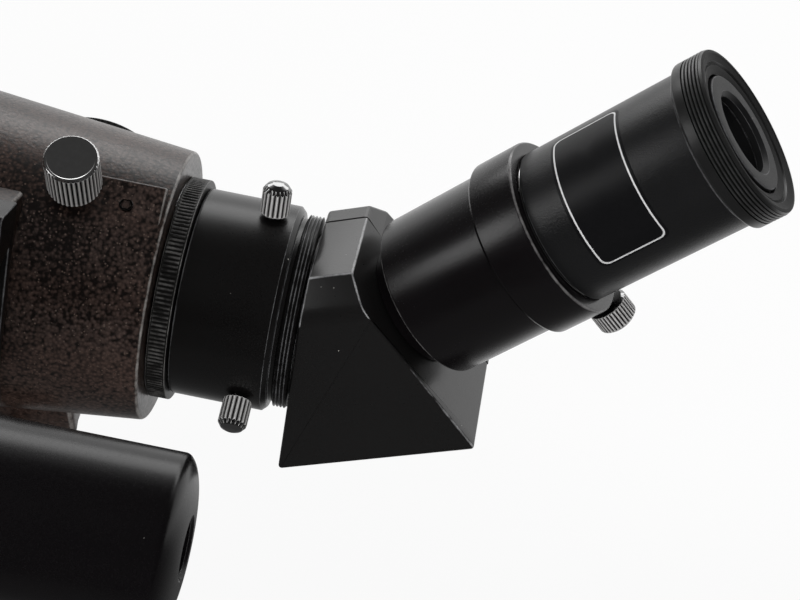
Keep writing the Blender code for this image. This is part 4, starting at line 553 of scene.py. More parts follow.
# Focuser housing: a turned casting with a rib, the pinion block and the finder pad
housing = {
    "bore": 23.3, "boreFront": -56.0, "endRadius": 29.4, "edge": 0.8, "shoulder": (36.46, -66.0),
    "neck": (38.4, -69.3), "flare": (44.1, -72.7), "flange": 46.0, "flangeRear": -73.3, "flangeFront": -77.7,
    "spigot": 43.2, "spigotBore": 40.5, "spigotFront": -91.7,
    "hollow": 32.0, "hollowRear": -62.1, "hollowFront": -72.7,
}
housingLine = softLine([
    (housing["bore"], 0, 0.3), (housing["endRadius"], 0, housing["edge"]), (*housing["shoulder"], 3.0),
    (*housing["neck"], 2.0), (*housing["flare"], 1.0), (housing["flange"], housing["flangeRear"], 0.8),
    (housing["flange"], housing["flangeFront"], 0.4), (housing["spigot"], housing["flangeFront"]),
    (housing["spigot"], housing["spigotFront"], 0.3), (housing["spigotBore"], housing["spigotFront"], 0.3),
    (housing["spigotBore"], housing["flangeFront"]), (housing["hollow"], housing["hollowFront"], 1.0),
    (housing["hollow"], housing["hollowRear"], 1.0), (housing["bore"], housing["boreFront"], 0.5)])
addTurned("housingCasting", housingLine, optical, 160, housingPaint, "base", "focuser_housing",
          "black_paint")

acrossUpAlong = (1, 0, 2)  # for an outline in (across, up) that is carried along the axis
alongAcrossUp = (2, 1, 0)  # for an outline in (along, across) that is carried upwards

# The rib has a wall on the far side and slopes down into the casting on the near side
rib = {"farSide": -5.2, "top": 32.2, "nearSide": 8.5, "nearTop": 27.5, "root": 24.5, "nearRoot": 6.5,
       "front": -27.0, "rear": -0.9, "corner": 0.7, "softness": 0.6}
ribOutline = softLine([(rib["farSide"], rib["root"]), (rib["farSide"], rib["top"], rib["corner"]),
                       (rib["nearSide"], rib["nearTop"]), (rib["nearRoot"], rib["root"])])
ribMesh = carriedMesh("housingRib", ribOutline, rib["front"], rib["rear"], optical, acrossUpAlong,
                      rib["softness"])
addPiece("housingRib", ribMesh, housingPaint, "base")

# The pinion block goes round the underside of the bore: an outer line of points and their places on the
# bore's circle carry a cross section with rounded corners, and its two ends slope in below the bend
block = {
    "halfWidth": 28.0, "bottom": -39.94, "top": -9.3, "middle": -30.3, "halfLength": 14.8, "hollow": 26.0,
    "bend": -25.05, "taper": 5.3, "corner": 2.5, "softness": 1.5, "sidePoint": -17.0, "bottomPoint": 14.0,
}
blockSide = [(block["halfWidth"], block["top"]), (block["halfWidth"], block["sidePoint"]),
             (block["halfWidth"], block["bend"]), (block["halfWidth"], block["bottom"], block["corner"]),
             (block["bottomPoint"], block["bottom"])]
blockFar = [(-across, *rest) for across, *rest in blockSide]
outerRun = softLine(blockFar + [(0, block["bottom"])] + blockSide[::-1], closed=False)[:, :2]
innerRun = outerRun * (block["hollow"] / np.linalg.norm(outerRun, axis=1))[:, None]
outward = outerRun - innerRun
reachOut = np.linalg.norm(outward, axis=1)[:, None]
outward = outward / reachOut
quarter = np.linspace(0, math.pi / 2, 5)
roundIn, roundDown = block["softness"] * (1 - np.cos(quarter)), block["softness"] * (1 - np.sin(quarter))
flatSteps = [(share, 0.0, 0.0) for share in (0.0, 0.35, 0.7)]
roundSteps = [(1.0, drawn, sunk) for drawn, sunk in zip(roundDown, roundIn)]
blockRows, blockMasks = [], []
for share, drawn, sunk in flatSteps + roundSteps:
    flat = innerRun + outward * (reachOut * share - drawn)
    slope = block["taper"] * np.clip((block["bend"] - flat[:, 1]) / (block["bend"] - block["bottom"]), 0, 1)
    worn = 0.0 if share < 1 else math.sin(math.pi * min(sunk / block["softness"], 1))
    blockRows.append(np.column_stack([flat[:, 1], flat[:, 0], block["halfLength"] - slope - sunk]))
    blockMasks.append(np.full(len(flat), worn))
blockHalf = np.stack(blockRows)
blockGrid = np.vstack([blockHalf, blockHalf[::-1] * (1, 1, -1)]) + (0, 0, block["middle"])
blockIndex = np.arange(blockGrid.shape[0] * blockGrid.shape[1]).reshape(blockGrid.shape[:2])
blockNext = np.roll(blockIndex, -1, 0)
blockFaces = np.stack([blockIndex[:, :-1], blockNext[:, :-1], blockNext[:, 1:], blockIndex[:, 1:]], -1)
blockCaps = [blockIndex[:, 0].tolist(), blockIndex[::-1, -1].tolist()]
blockMesh = meshFrom("pinionBlock", blockGrid, blockFaces.reshape(-1, 4).tolist() + blockCaps,
                     np.stack(blockMasks + blockMasks[::-1]), optical)
addPiece("pinionBlock", blockMesh, housingPaint, "base")

pad = {"halfWidth": 24.0, "bottom": 24.6, "top": 36.8, "front": -56.0, "rear": -28.0, "corner": 1.2,
       "softness": 1.0}
padOutline = boxOutline(-pad["halfWidth"], pad["bottom"], pad["halfWidth"], pad["top"], pad["corner"])
padMesh = carriedMesh("finderPad", padOutline, pad["front"], pad["rear"], shoeAxis, acrossUpAlong,
                      pad["softness"])
addPiece("finderPad", padMesh, housingPaint, "base")

# Focus lock screw and the socket screw beside it
lockScrew = {
    "along": -18.7, "radius": 5.56, "base": 34.63, "top": 44.18, "shank": 2.0, "tip": 23.6,
    "foot": (5.1, 0.4), "crown": [(0, 0.06, 0), (4.7, 0.06, 0.1), (4.85, 0, 0.1), (5.2, 0, 0.15)],
    "rim": (0.4, 0.15), "bare": (0.8, 0.9), "soft": (0.15, 0.15, 0.2, 0.2), "flutes": 36, "depth": 0.5,
    "fluted": (0.2, 0.3), "sideFrom": 4.8, "count": 360,
}
addBrightScrew("focusLockScrew", lockScrew, radialAxis(optical, 0, lockScrew["along"]), "lock_screw",
               "focus_lock_screw", chromePlate)

tension = {"along": -8.4, "radius": 1.45, "socket": 0.95, "socketMost": 1.1, "top": 30.8, "depth": 1.6,
           "tip": 23.6}
tensionLine = softLine([
    (0, tension["top"] - tension["depth"]), (tension["socket"], tension["top"] - tension["depth"]),
    (tension["socket"], tension["top"], 0.05), (tension["radius"], tension["top"], 0.12),
    (tension["radius"], tension["tip"], 0.1), (0, tension["tip"])], closed=False)
addTurned("tensionScrew", tensionLine, radialAxis(optical, 0, tension["along"]), 48, oxideSteel, "base",
          "tension_screw", "steel", ring=False, ripple=hexSocket(tension["socketMost"]))


# Small screws: a low round head with a six-sided socket
def addSmallScrew(name, node, axis, look, body):
    head, shank, height, length = (look[k] for k in ("head", "shank", "height", "length"))
    socket = head * 0.5
    line = softLine([(0, height * 0.3), (socket, height * 0.3), (socket, height, 0.05),
                     (head, height, height * 0.35), (head, 0, 0.1), (shank, 0), (shank, -length, 0.2),
                     (0, -length)], closed=False)
    addTurned(name, line, axis, 48, screwSteel, body, node, "steel", ring=False,
              ripple=hexSocket(head * 0.52))


tubeScrews = {"head": 3.0, "shank": 1.5, "height": 1.5, "length": 4.8, "along": -84.7, "seat": 45.3,
              "angles": {"near": 30, "low": 150, "far": 270}}
for side, angle in tubeScrews["angles"].items():
    screwAxis = radialAxis(optical, angle, tubeScrews["along"])
    seat = inside(screwAxis, (0, 0, tubeScrews["seat"]), (1, 0, 0), (0, 0, 1))
    addSmallScrew("tubeScrew." + side, "tube_screw_" + side, seat, tubeScrews, "base")

coverScrews = {"head": 2.1, "shank": 1.1, "height": 1.3, "length": 6.0, "across": 8.5, "along": 4.7,
               "drop": 43.24}
for number, side in ((1, -1), (2, 1)):
    along = places["pinionAlong"] + side * coverScrews["along"]
    seat = inside(optical, (-coverScrews["drop"], side * coverScrews["across"], along), (0, 0, 1),
                  (-1, 0, 0))
    addSmallScrew("coverScrew.%d" % number, "pinion_cover_screw_%d" % number, seat, coverScrews, "base")
print("focuser housing built")

# Tube, objective and dew shield
tube = {"radius": 45.0, "bore": 43.5, "rear": -78.0, "front": -268.0}
tubeLine = softLine([(tube["radius"], tube["rear"], 0.2), (tube["radius"], tube["front"], 0.2),
                     (tube["bore"], tube["front"], 0.2), (tube["bore"], tube["rear"], 0.2)])
addTurned("mainTube", tubeLine, optical, 160, tubePaint, "base", "main_tube", "black_paint")

cell = {"radius": 46.0, "rear": -268.3, "front": -300.3, "bore": 41.8, "clear": 38.5, "seat": -281.3,
        "sleeve": 43.2, "sleeveRear": -256.3, "groove": 0.5, "grooveRear": -272.0, "grooveFront": -274.2}
cellLine = softLine([
    (cell["sleeve"], cell["sleeveRear"], 0.3), (cell["sleeve"], cell["rear"]),
    (cell["radius"], cell["rear"], 0.6),
    *grooveCorners(cell["radius"], cell["groove"], cell["grooveRear"], cell["grooveFront"], 0.3),
    (cell["radius"], cell["front"], 0.5), (cell["bore"], cell["front"], 0.3), (cell["bore"], cell["seat"]),
    (cell["clear"], cell["seat"], 0.2), (cell["clear"], cell["sleeveRear"], 0.2)])
addTurned("objectiveCell", cellLine, optical, 160, satinBlack, "base", "objective_cell", "satin_black")

retainer = {"radius": 41.5, "opening": 39.3, "rear": -296.6, "front": -299.6, "lip": 0.6, "lipDepth": 1.2}
retainerLine = softLine([
    (retainer["radius"], retainer["rear"], 0.2), (retainer["radius"], retainer["front"], 0.3),
    (retainer["opening"] + retainer["lip"], retainer["front"], 0.3),
    (retainer["opening"], retainer["front"] + retainer["lipDepth"], 0.3),
    (retainer["opening"], retainer["rear"], 0.2)])
addTurned("retainingRing", retainerLine, optical, 128, satinBlack, "base", "retaining_ring", "satin_black")


# A lens: two round faces that meet its rim; each face is a circle's arc of that curve, 0 is flat
def lensLine(look, steps=10):
    radius = look["radius"]
    share = np.linspace(0, 1, steps + 1) * radius

    def bulge(curve):
        if not curve:
            return share * 0
        size = abs(curve)
        rimDepth = math.sqrt(size * size - radius * radius)
        return np.sign(curve) * (np.sqrt(size * size - share * share) - rimDepth)

    back = np.column_stack([share, look["rear"] + bulge(look["rearCurve"]), share * 0])
    face = np.column_stack([share, look["front"] - bulge(look["frontCurve"]), share * 0])[::-1]
    return np.vstack([back, face])


def addLens(name, node, look, axis, body, finish):
    addTurned(name, lensLine(look), axis, 96, finish, body, node, "glass", ring=False, sharp=30)


flint = {"radius": 41.5, "front": -291.2, "rear": -281.6, "frontCurve": -200.0, "rearCurve": 0}
crown = {"radius": 41.5, "front": -295.9, "rear": -291.7, "frontCurve": 240.0, "rearCurve": 200.0}
addLens("flintLens", "flint_lens", flint, optical, "base", coatedGlass)
addLens("crownLens", "crown_lens", crown, optical, "base", coatedGlass)

shield = {"bore": 46.3, "radius": 48.3, "rear": -275.3, "front": -352.3, "bead": 49.1, "beadFoot": -349.1,
          "beadRear": -349.9, "beadFront": -351.5}
shieldLine = softLine([
    (shield["radius"], shield["rear"], 0.5), (shield["radius"], shield["beadFoot"], 0.3),
    (shield["bead"], shield["beadRear"], 0.6), (shield["bead"], shield["beadFront"], 0.6),
    (shield["radius"], shield["front"], 0.4), (shield["bore"], shield["front"], 0.5),
    (shield["bore"], shield["rear"], 0.3)])
shieldMesh = addTurned("dewShield", shieldLine, optical, 160, tubePaint, "dew_shield", "dew_shield",
                       "black_paint")
paintFaces(shieldMesh, optical, matteInner, lambda radius, outward, lengthwise: outward < -0.7)
print("tube and objective built")

# Drawtube, knurled ring and adapter
draw = {"radius": 23.0, "bore": 21.2, "front": -92.0}
drawLine = softLine([(draw["radius"], 0, 0.2), (draw["radius"], draw["front"], 0.4),
                     (draw["bore"], draw["front"], 0.3), (draw["bore"], 0, 0.2)])
addTurned("drawtubeBright", drawLine, optical, 128, turnedAluminium, "drawtube", "drawtube",
          "bare_aluminium")

ring = {"radius": 24.06, "front": 0.3, "rear": 4.4, "bore": 17.6, "step": 22.9, "spigot": 20.9,
        "spigotFront": -7.7, "ridges": 156, "depth": 0.38, "knurlFrom": 23.9}
ringLine = softLine([
    (ring["bore"], ring["rear"], 0.2), (ring["step"], ring["rear"]), (ring["radius"], ring["rear"], 0.3),
    (ring["radius"], ring["rear"] - 0.45), (ring["radius"], ring["rear"] - 0.8),
    (ring["radius"], ring["front"] + 0.8), (ring["radius"], ring["front"] + 0.45),
    (ring["radius"], ring["front"], 0.3), (ring["spigot"], ring["front"]),
    (ring["spigot"], ring["spigotFront"], 0.3), (ring["bore"], ring["spigotFront"], 0.3)])
ringKnurl = knurl(ring["ridges"], ring["depth"], ring["front"] + 0.3, ring["rear"] - 0.3, ring["knurlFrom"])
addTurned("knurledRing", ringLine, optical, ring["ridges"] * 6, ringBlack, "drawtube", "knurled_ring",
          "satin_black", ripple=ringKnurl, crest=0.6)

adapter = {"radius": 22.4, "front": 4.7, "rear": 25.5, "chamfer": 1.0, "neck": 20.0, "bore": 16.175,
           "spigot": 17.3, "spigotFront": -3.9, "thread": 21.0, "threadFront": 26.8, "threadRear": 29.7,
           "threadRows": 46, "threadDepth": 0.45, "pitch": 0.75}
adapterStart = softLine([(adapter["bore"], adapter["threadRear"], 0.3),
                         (adapter["thread"] - 0.5, adapter["threadRear"])], closed=False)
threadRows = np.linspace(adapter["threadRear"] - 0.15, adapter["threadFront"] + 0.1, adapter["threadRows"])
threadLine = np.column_stack([threadRows * 0 + adapter["thread"], threadRows, threadRows * 0 + 0.25])
adapterEnd = softLine([
    (adapter["thread"], adapter["threadFront"]), (adapter["neck"], adapter["threadFront"] - 0.4),
    (adapter["neck"], adapter["rear"], 0.2), (adapter["radius"] - adapter["chamfer"], adapter["rear"], 0.25),
    (adapter["radius"], adapter["rear"] - adapter["chamfer"], 0.3),
    (adapter["radius"], adapter["front"], 0.5), (adapter["spigot"], adapter["front"]),
    (adapter["spigot"], adapter["spigotFront"], 0.3), (adapter["bore"], adapter["spigotFront"], 0.3)],
    closed=False)
adapterLine = np.vstack([adapterStart, threadLine, adapterEnd])


# The screw thread winds round: its depth is a triangle wave of the place along, less the turn's share of
# a pitch
def threadRipple(turn, along, radius):
    phase = np.mod(along / adapter["pitch"] - turn / (2 * math.pi), 1.0)
    wave = np.abs(2 * phase - 1)
    between = (along > adapter["threadFront"] + 0.05) & (along < adapter["threadRear"] - 0.1)
    onThread = between & (radius > adapter["thread"] - 0.01)
    return np.where(onThread, -adapter["threadDepth"] * np.clip(wave * 1.25 - 0.1, 0, 1), 0)


# The thread's crests carry a strong edge mask, so the wear rubs them bright: partly real wear, partly a
# painted sheen along the thread
addTurned("eyepieceAdapter", adapterLine, optical, 180, satinBlack, "drawtube", "eyepiece_adapter",
          "satin_black", ripple=threadRipple, sharp=50, crest=0.9)

clampScrew = {
    "along": 20.0, "radius": 3.1, "base": 23.0, "top": 30.3, "shank": 1.7, "tip": 16.6, "foot": (2.4, 0.5),
    "crown": [(0, 0, 0), (1.2, 0.06, 0.4), (2.3, 0.55, 0.8)], "rim": (1.6, 0.7), "bare": (2.3, 1.1),
    "soft": (0.3, 0.2, 0, 0.2), "flutes": 18, "depth": 0.42, "fluted": (0.4, 1.2), "sideFrom": 2.4,
    "count": 180, "angles": {"upper": -28.5, "lower": 91.5},
}
for side, angle in clampScrew["angles"].items():
    addBrightScrew("adapterScrew." + side, clampScrew, radialAxis(optical, angle, clampScrew["along"]),
                   "adapter_screw_" + side, "adapter_screw_" + side, chromeShadedCopy)

# Focus knobs and their shaft
knob = {"radius": 12.6, "start": 31.5, "body": 34.3, "end": 50.7, "hub": 5.5, "bore": 2.8, "boreEnd": 44.2,
        "dish": 8.8, "dishEdge": 10.2, "ridges": 54, "depth": 0.5, "knurlFrom": 12.3, "count": 324}
knobLine = softLine([
    (0, knob["end"] - 0.3), (knob["dish"], knob["end"] - 0.3, 0.2), (knob["dishEdge"], knob["end"], 0.4),
    (knob["radius"], knob["end"] - 0.6, 0.4), (knob["radius"], knob["end"] - 1.1),
    (knob["radius"], knob["end"] - 1.6), (knob["radius"], knob["body"] + 1.5),
    (knob["radius"], knob["body"] + 1.0), (knob["radius"] - 0.6, knob["body"], 0.4),
    (knob["hub"], knob["body"], 0.3), (knob["hub"], knob["start"], 0.4), (knob["bore"], knob["start"], 0.2),
    (knob["bore"], knob["boreEnd"]), (0, knob["boreEnd"])], closed=False)
knobKnurl = knurl(knob["ridges"], knob["depth"], knob["body"] + 0.8, knob["end"] - 0.9, knob["knurlFrom"])
addTurned("focusKnobNear", knobLine, pinionAxis, knob["count"], knobBlack, "pinion", "focus_knob_left",
          "black_plastic", ring=False, ripple=knobKnurl)
addTurned("focusKnobFar", knobLine, pinionFar, knob["count"], knobBlack, "pinion", "focus_knob_right",
          "black_plastic", ring=False, ripple=knobKnurl)

shaft = {"radius": 2.5, "half": 43.8, "edge": 0.4}
shaftLine = softLine([(0, shaft["half"]), (shaft["radius"], shaft["half"], shaft["edge"]),
                      (shaft["radius"], -shaft["half"], shaft["edge"]), (0, -shaft["half"])], closed=False)
addTurned("pinionShaft", shaftLine, pinionAxis, 40, screwSteel, "pinion", "pinion_shaft", "steel",
          ring=False)
print("drawtube and adapter built")

# Diagonal: nose barrel, the thin black seat between thread and case, and the case
nose = {"radius": 15.875, "rear": -14.0, "front": -42.0, "bore": 13.6, "boreRear": -18.2, "seat": 12.3,
        "seatRear": -12.1, "throat": 10.6, "throatFront": -16.1, "groove": 0.35, "grooveRear": -27.0,
        "grooveFront": -31.0}
noseLine = softLine([
    (nose["seat"], nose["seatRear"], 0.2), (nose["seat"], nose["rear"]), (nose["radius"], nose["rear"], 0.3),
    *grooveCorners(nose["radius"], nose["groove"], nose["grooveRear"], nose["grooveFront"]),
    (nose["radius"], nose["front"], 0.5), (nose["bore"], nose["front"], 0.3),
    (nose["bore"], nose["boreRear"]), (nose["throat"], nose["throatFront"]),
    (nose["throat"], nose["seatRear"], 0.2)])
addTurned("diagonalNose", noseLine, bendPlane, 112, chromePlate, "diagonal", "diagonal_nose", "chrome")

collar = {"radius": 17.6, "bore": 15.9, "rear": -13.75, "front": -14.15}
collarLine = softLine([(collar["radius"], collar["rear"], 0.15), (collar["radius"], collar["front"], 0.15),
                       (collar["bore"], collar["front"]), (collar["bore"], collar["rear"])])
addTurned("noseCollar", collarLine, bendPlane, 112, caseBlack, "diagonal", None, "black_plastic")

case = {
    "entry": 13.7, "exit": 11.7, "roof": 20.1, "top": 22.7, "topLength": 8.7, "upper": 13.65, "half": 20.6,
    "topHalf": 12.4, "seam": -7.85, "seamSoft": 0.25, "softness": 0.5, "corner": 0.7, "topRound": 1.2,
    "bendRound": 7.0, "bendReach": 2.6, "wornWidth": 0.8,
}
halfLean = lean / 2


def roofPoint(along, height):  # a point of a line parallel to the roof, that height over the turning point
    return np.array([along, (height + along * math.sin(halfLean)) / math.cos(halfLean)])


def exitPoint(out, across):  # out along the eyepiece's axis, and across it
    return np.array([out * math.cos(lean) + across * math.sin(lean),
                     out * math.sin(lean) - across * math.cos(lean)])


def exitAt(height):  # where the exit face meets a line parallel to the roof
    return exitPoint(case["exit"], (case["exit"] * math.sin(halfLean) - height) / math.cos(halfLean))


def heightOf(points):  # how far points lie over the turning point, square to the roof
    return points[..., 1] * math.cos(halfLean) - points[..., 0] * math.sin(halfLean)


ridge = roofPoint(case["topLength"] - case["entry"], case["top"])
shoulder = exitPoint(case["exit"], -case["upper"])
crease = heightOf(shoulder)
creaseHalf = case["topHalf"] + case["top"] - crease
sideSlope = (case["half"] - creaseHalf) / (crease + case["roof"])


# The case's side view cut off at a height; its rear end is on the slope above the exit face, and on that
# face below it
def caseLine(height):
    share = (case["top"] - height) / (case["top"] - crease)
    rear = ridge + (shoulder - ridge) * share if share < 1 else exitAt(height)
    return softLine([(*roofPoint(-case["entry"], height), case["corner"]), (*rear, case["corner"]),
                     exitAt(crease - case["bendReach"] - 1), (*exitAt(-case["roof"]), case["corner"]),
                     (*roofPoint(-case["entry"], -case["roof"]), case["corner"])])


# Rows of the side view run from the seam over the top, down the 45 degree slope and round its lower bend,
# cut off lower and lower. The last rows lie in the leaning side: they are drawn in over a quarter round,
# except along the bend.
bendEnd = crease - case["bendReach"]
caseRun = softLine([
    (case["seam"] + case["seamSoft"], case["top"]), (case["topHalf"], case["top"], case["topRound"]),
    (creaseHalf, crease, case["bendRound"], 0.0), (creaseHalf + sideSlope * 6, crease - 6)],
    closed=False, steps=7)
caseRun = caseRun[caseRun[:, 1] > bendEnd]
caseLevels = [(case["seam"], case["top"], case["seamSoft"], 0.6)]
caseLevels += [(across, height, 0.0, mask) for across, height, mask in caseRun]
caseRows, caseMasks = [], []
for across, height, drawn, worn in caseLevels:
    line = caseLine(height)
    points = line[:, :2] + inwards(line[:, :2]) * drawn
    onTop = np.clip((heightOf(line[:, :2]) - height) / case["wornWidth"] + 1, 0, 1)
    caseRows.append(np.column_stack([points[:, 1], np.full(len(points), across), points[:, 0]]))
    caseMasks.append(np.maximum(line[:, 2], worn * (onTop if drawn == 0 else 1)))
line = caseLine(bendEnd)
below = np.clip((bendEnd - heightOf(line[:, :2])) / case["wornWidth"], 0, 1)
onExit = np.clip((line[:, 0] - line[:, 0].mean()) / 8, 0.25, 1)
for turnIn in np.append(np.linspace(0, math.pi / 2, 6), math.inf):
    last = math.isinf(turnIn)
    drawn = case["softness"] + 0.25 if last else case["softness"] * (1 - math.cos(turnIn)) * below
    sunk = 0 if last else case["softness"] * (1 - math.sin(turnIn)) * below
    points = line[:, :2] + inwards(line[:, :2]) * np.broadcast_to(drawn, len(line))[:, None]
    aside = creaseHalf + (crease - heightOf(points)) * sideSlope - sunk
    caseRows.append(np.column_stack([points[:, 1], aside, points[:, 0]]))
    caseMasks.append(line[:, 2] * 0 if last else math.sin(2 * turnIn) * below * onExit)
caseGrid = np.stack(caseRows)
caseMesh = meshFrom("diagonalCase", caseGrid, gridFaces(caseGrid) + endCaps(caseGrid), np.stack(caseMasks),
                    bendPlane, 30)
addPiece("diagonalCase", caseMesh, caseBlack, "diagonal", ["diagonal_body"])

# Eyepiece holder with its stepped collar and clamp screw
holder = {"radius": 17.68, "start": 16.0, "collar": 19.24, "collarStart": 39.5, "end": 50.04, "bore": 16.175,
          "boreStart": 21.0, "neck": 13.3, "neckStart": 12.0, "tail": 11.2, "tailStart": 9.7, "clear": 10.0}
holderLine = softLine([
    (holder["bore"], holder["end"], 0.25), (holder["collar"], holder["end"], 0.6),
    (holder["collar"], holder["collarStart"] + 0.6, 0.35, 0.0),
    (holder["collar"] - 0.5, holder["collarStart"], 0.3, 0.0),
    (holder["radius"], holder["collarStart"], 0.3, 0.0), (holder["radius"], holder["start"], 0.7),
    (holder["neck"], holder["start"], 0.3), (holder["neck"], holder["neckStart"]),
    (holder["tail"], holder["neckStart"]), (holder["tail"], holder["tailStart"], 0.2),
    (holder["clear"], holder["tailStart"], 0.2), (holder["clear"], holder["boreStart"]),
    (holder["bore"], holder["boreStart"])])
addTurned("eyepieceHolder", holderLine, eyeAxis, 144, holderBlack, "diagonal", "eyepiece_holder",
          "black_plastic")

holderScrew = {
    "along": 46.7, "radius": 4.4, "base": 20.5, "top": 26.4, "shank": 1.8, "tip": 16.6, "foot": (3.8, 0.5),
    "crown": [(0, 0, 0), (2.6, 0.1, 0.5), (3.7, 0.5, 0.5)], "rim": (1.1, 0.4), "bare": (1.6, 1.0),
    "soft": (0.2, 0.2, 0, 0.2), "flutes": 34, "depth": 0.36, "fluted": (0.4, 1.0), "sideFrom": 3.8,
    "count": 272,
}
addBrightScrew("holderScrew", holderScrew, radialAxis(eyeAxis, 0, holderScrew["along"]), "holder_screw",
               "holder_screw", chromeShadedCopy)
print("diagonal built")

# Eyepiece: barrel, body, label panel, eyecup, eye plate and lenses.
# Rows close to the barrel's groove and ends keep its sides straight in reflections.
barrel = {"radius": 15.875, "front": 25.04, "rear": 50.04, "neck": 13.6, "neckRear": 58.04, "bore": 14.575,
          "boreRear": 42.04, "clear": 12.4, "groove": 0.35, "grooveRear": 42.0, "grooveFront": 37.2}
barrelLine = softLine([
    (barrel["neck"], barrel["neckRear"], 0.2), (barrel["neck"], barrel["rear"]),
    (barrel["radius"], barrel["rear"], 0.3), (barrel["radius"], barrel["rear"] - 0.8),
    (barrel["radius"], barrel["grooveRear"] + 0.3),
    *grooveCorners(barrel["radius"], barrel["groove"], barrel["grooveRear"], barrel["grooveFront"]),
    (barrel["radius"], barrel["grooveFront"] - 0.3), (barrel["radius"], barrel["front"] + 1.2),
    (barrel["radius"], barrel["front"], 0.5), (barrel["bore"], barrel["front"], 0.3),
    (barrel["bore"], barrel["boreRear"]), (barrel["clear"], barrel["boreRear"]),
    (barrel["clear"], barrel["neckRear"], 0.2)])
addTurned("eyepieceBarrel", barrelLine, eyeAxis, 112, chromePlate, "eyepiece", "eyepiece_barrel", "chrome")

ocular = {"radius": 16.57, "front": 50.34, "rear": 85.84, "edge": 0.4, "neck": 14.3, "neckRear": 89.64,
          "opening": 9.0, "socket": 13.9, "socketRear": 58.34, "bore": 11.0, "boreRear": 86.04}
ocularLine = softLine([
    (ocular["opening"], ocular["neckRear"], 0.2), (ocular["neck"], ocular["neckRear"], 0.3),
    (ocular["neck"], ocular["rear"]), (ocular["radius"], ocular["rear"], ocular["edge"]),
    (ocular["radius"], ocular["front"], ocular["edge"]), (ocular["socket"], ocular["front"], 0.2),
    (ocular["socket"], ocular["socketRear"]), (ocular["bore"], ocular["socketRear"]),
    (ocular["bore"], ocular["boreRear"]), (ocular["opening"], ocular["boreRear"])])
addTurned("eyepieceBody", ocularLine, eyeAxis, 144, eyepieceBlack, "eyepiece", "eyepiece_body",
          "black_plastic")

# The label panel is a bare patch of the body's own cylinder: a rounded rectangle in (arc, along), lifted
# a little
panel = {"front": 58.0, "rear": 73.8, "turnFrom": 171.5, "turnTo": 284.0, "corner": 2.0, "lift": 0.08,
         "sunk": -0.10, "border": 0.65, "line": 0.34}


# Rings of a rounded rectangle shrink to its middle, and are bent onto the cylinder: x = r cos(arc / r),
# y = r sin(arc / r), z = along
def panelMesh(name, insets, lifts, closedRows):
    arcFrom, arcTo = (math.radians(panel[k]) * ocular["radius"] for k in ("turnFrom", "turnTo"))
    share = np.linspace(0, 1, 24, endpoint=False)[None, :, None]
    rows = []
    for inset, lift in zip(insets, lifts):
        corner = max(panel["corner"] - inset * 0.5, 0.05)
        low, high = panel["front"] + inset, panel["rear"] - inset
        flat = boxOutline(arcFrom + inset, low, arcTo - inset, high, corner)[:, :2]
        ahead = np.roll(flat, -1, 0)
        loop = (flat[:, None, :] * (1 - share) + ahead[:, None, :] * share).reshape(-1, 2)
        radius = ocular["radius"] + lift
        turn = loop[:, 0] / ocular["radius"]
        rows.append(np.column_stack([radius * np.cos(turn), radius * np.sin(turn), loop[:, 1]]))
    grid = np.stack(rows)
    return meshFrom(name, grid, gridFaces(grid, closedRows), np.zeros(grid.shape[:2]), eyeAxis)


# Rows run from the middle line below the surface out to the rim, up it and back over the face to the
# middle line
panelMiddle = (panel["rear"] - panel["front"]) / 2 - 0.0004
panelInsets = [panelMiddle, 4.0, 0.05, 0.0, 0.06, 0.5, 2.0, 4.0, 6.0, panelMiddle]
panelLifts = [panel["sunk"]] * 3 + [panel["lift"] - 0.03] + [panel["lift"]] * 6
addPiece("labelPanel", panelMesh("labelPanel", panelInsets, panelLifts, False), panelBlack, "eyepiece")
lineFrom, lineTo = panel["border"], panel["border"] + panel["line"]
lineLow, lineHigh = panel["lift"] - 0.05, panel["lift"] + 0.03
borderMesh = panelMesh("labelBorder", [lineFrom, lineTo, lineTo, lineFrom],
                       [lineLow, lineLow, lineHigh, lineHigh], True)
addPiece("labelBorder", borderMesh, panelLine, "eyepiece")

# Fine ridges near the eye end: |sin| of the place along; a raised rim stands round the dished end
cup = {"radius": 17.9, "start": 86.14, "end": 93.04, "ridgeFrom": 92.3, "ridgeTo": 88.5, "ridges": 5,
       "ridgeRows": 71, "depth": 0.48, "bore": 14.6, "lip": 12.8, "lipFloor": 90.24, "dish": 1.4,
       "dishSlope": 0.32, "groove": 15.0, "grooveDepth": 0.5}
ridgePlaces = np.linspace(cup["ridgeFrom"], cup["ridgeTo"], cup["ridgeRows"])
ridgeWave = np.abs(np.sin(np.linspace(0, math.pi * cup["ridges"], cup["ridgeRows"]))) ** 0.7 - 1
ridgeLine = np.column_stack([cup["radius"] + cup["depth"] * ridgeWave, ridgePlaces,
                             np.clip(1 + ridgeWave * 2, 0, 1)])
dishAt = cup["end"] - cup["dish"] + (cup["groove"] - cup["lip"]) * cup["dishSlope"]
cupFront = softLine([
    (cup["lip"], cup["lipFloor"], 0.2), (cup["lip"], cup["end"] - cup["dish"], 0.4),
    (cup["groove"] - 0.35, dishAt - 0.11, 0.12), (cup["groove"] - 0.15, dishAt - cup["grooveDepth"], 0.1, 0),
    (cup["groove"] + 0.15, dishAt - cup["grooveDepth"], 0.1, 0), (cup["groove"] + 0.35, dishAt + 0.11, 0.12),
    (cup["radius"] - 1.5, cup["end"] - 0.25, 0.4), (cup["radius"] - 1.0, cup["end"], 0.3),
    (cup["radius"] - 0.3, cup["end"] - 0.1, 0.3), (cup["radius"] - 0.1, cup["ridgeFrom"] + 0.05)],
    closed=False)
cupBack = softLine([(cup["radius"], cup["ridgeTo"] - 0.05), (cup["radius"], cup["start"], 0.6),
                    (cup["bore"], cup["start"], 0.2), (cup["bore"], cup["lipFloor"])], closed=False)
cupLine = np.vstack([cupFront, ridgeLine, cupBack])
cupMesh = addTurned("eyecupRubber", cupLine, eyeAxis, 144, cupRubber, "eyepiece", "eyecup", "rubber",
                    sharp=60)
paintFaces(cupMesh, eyeAxis, cupFace, lambda radius, outward, lengthwise: lengthwise > 0.75)

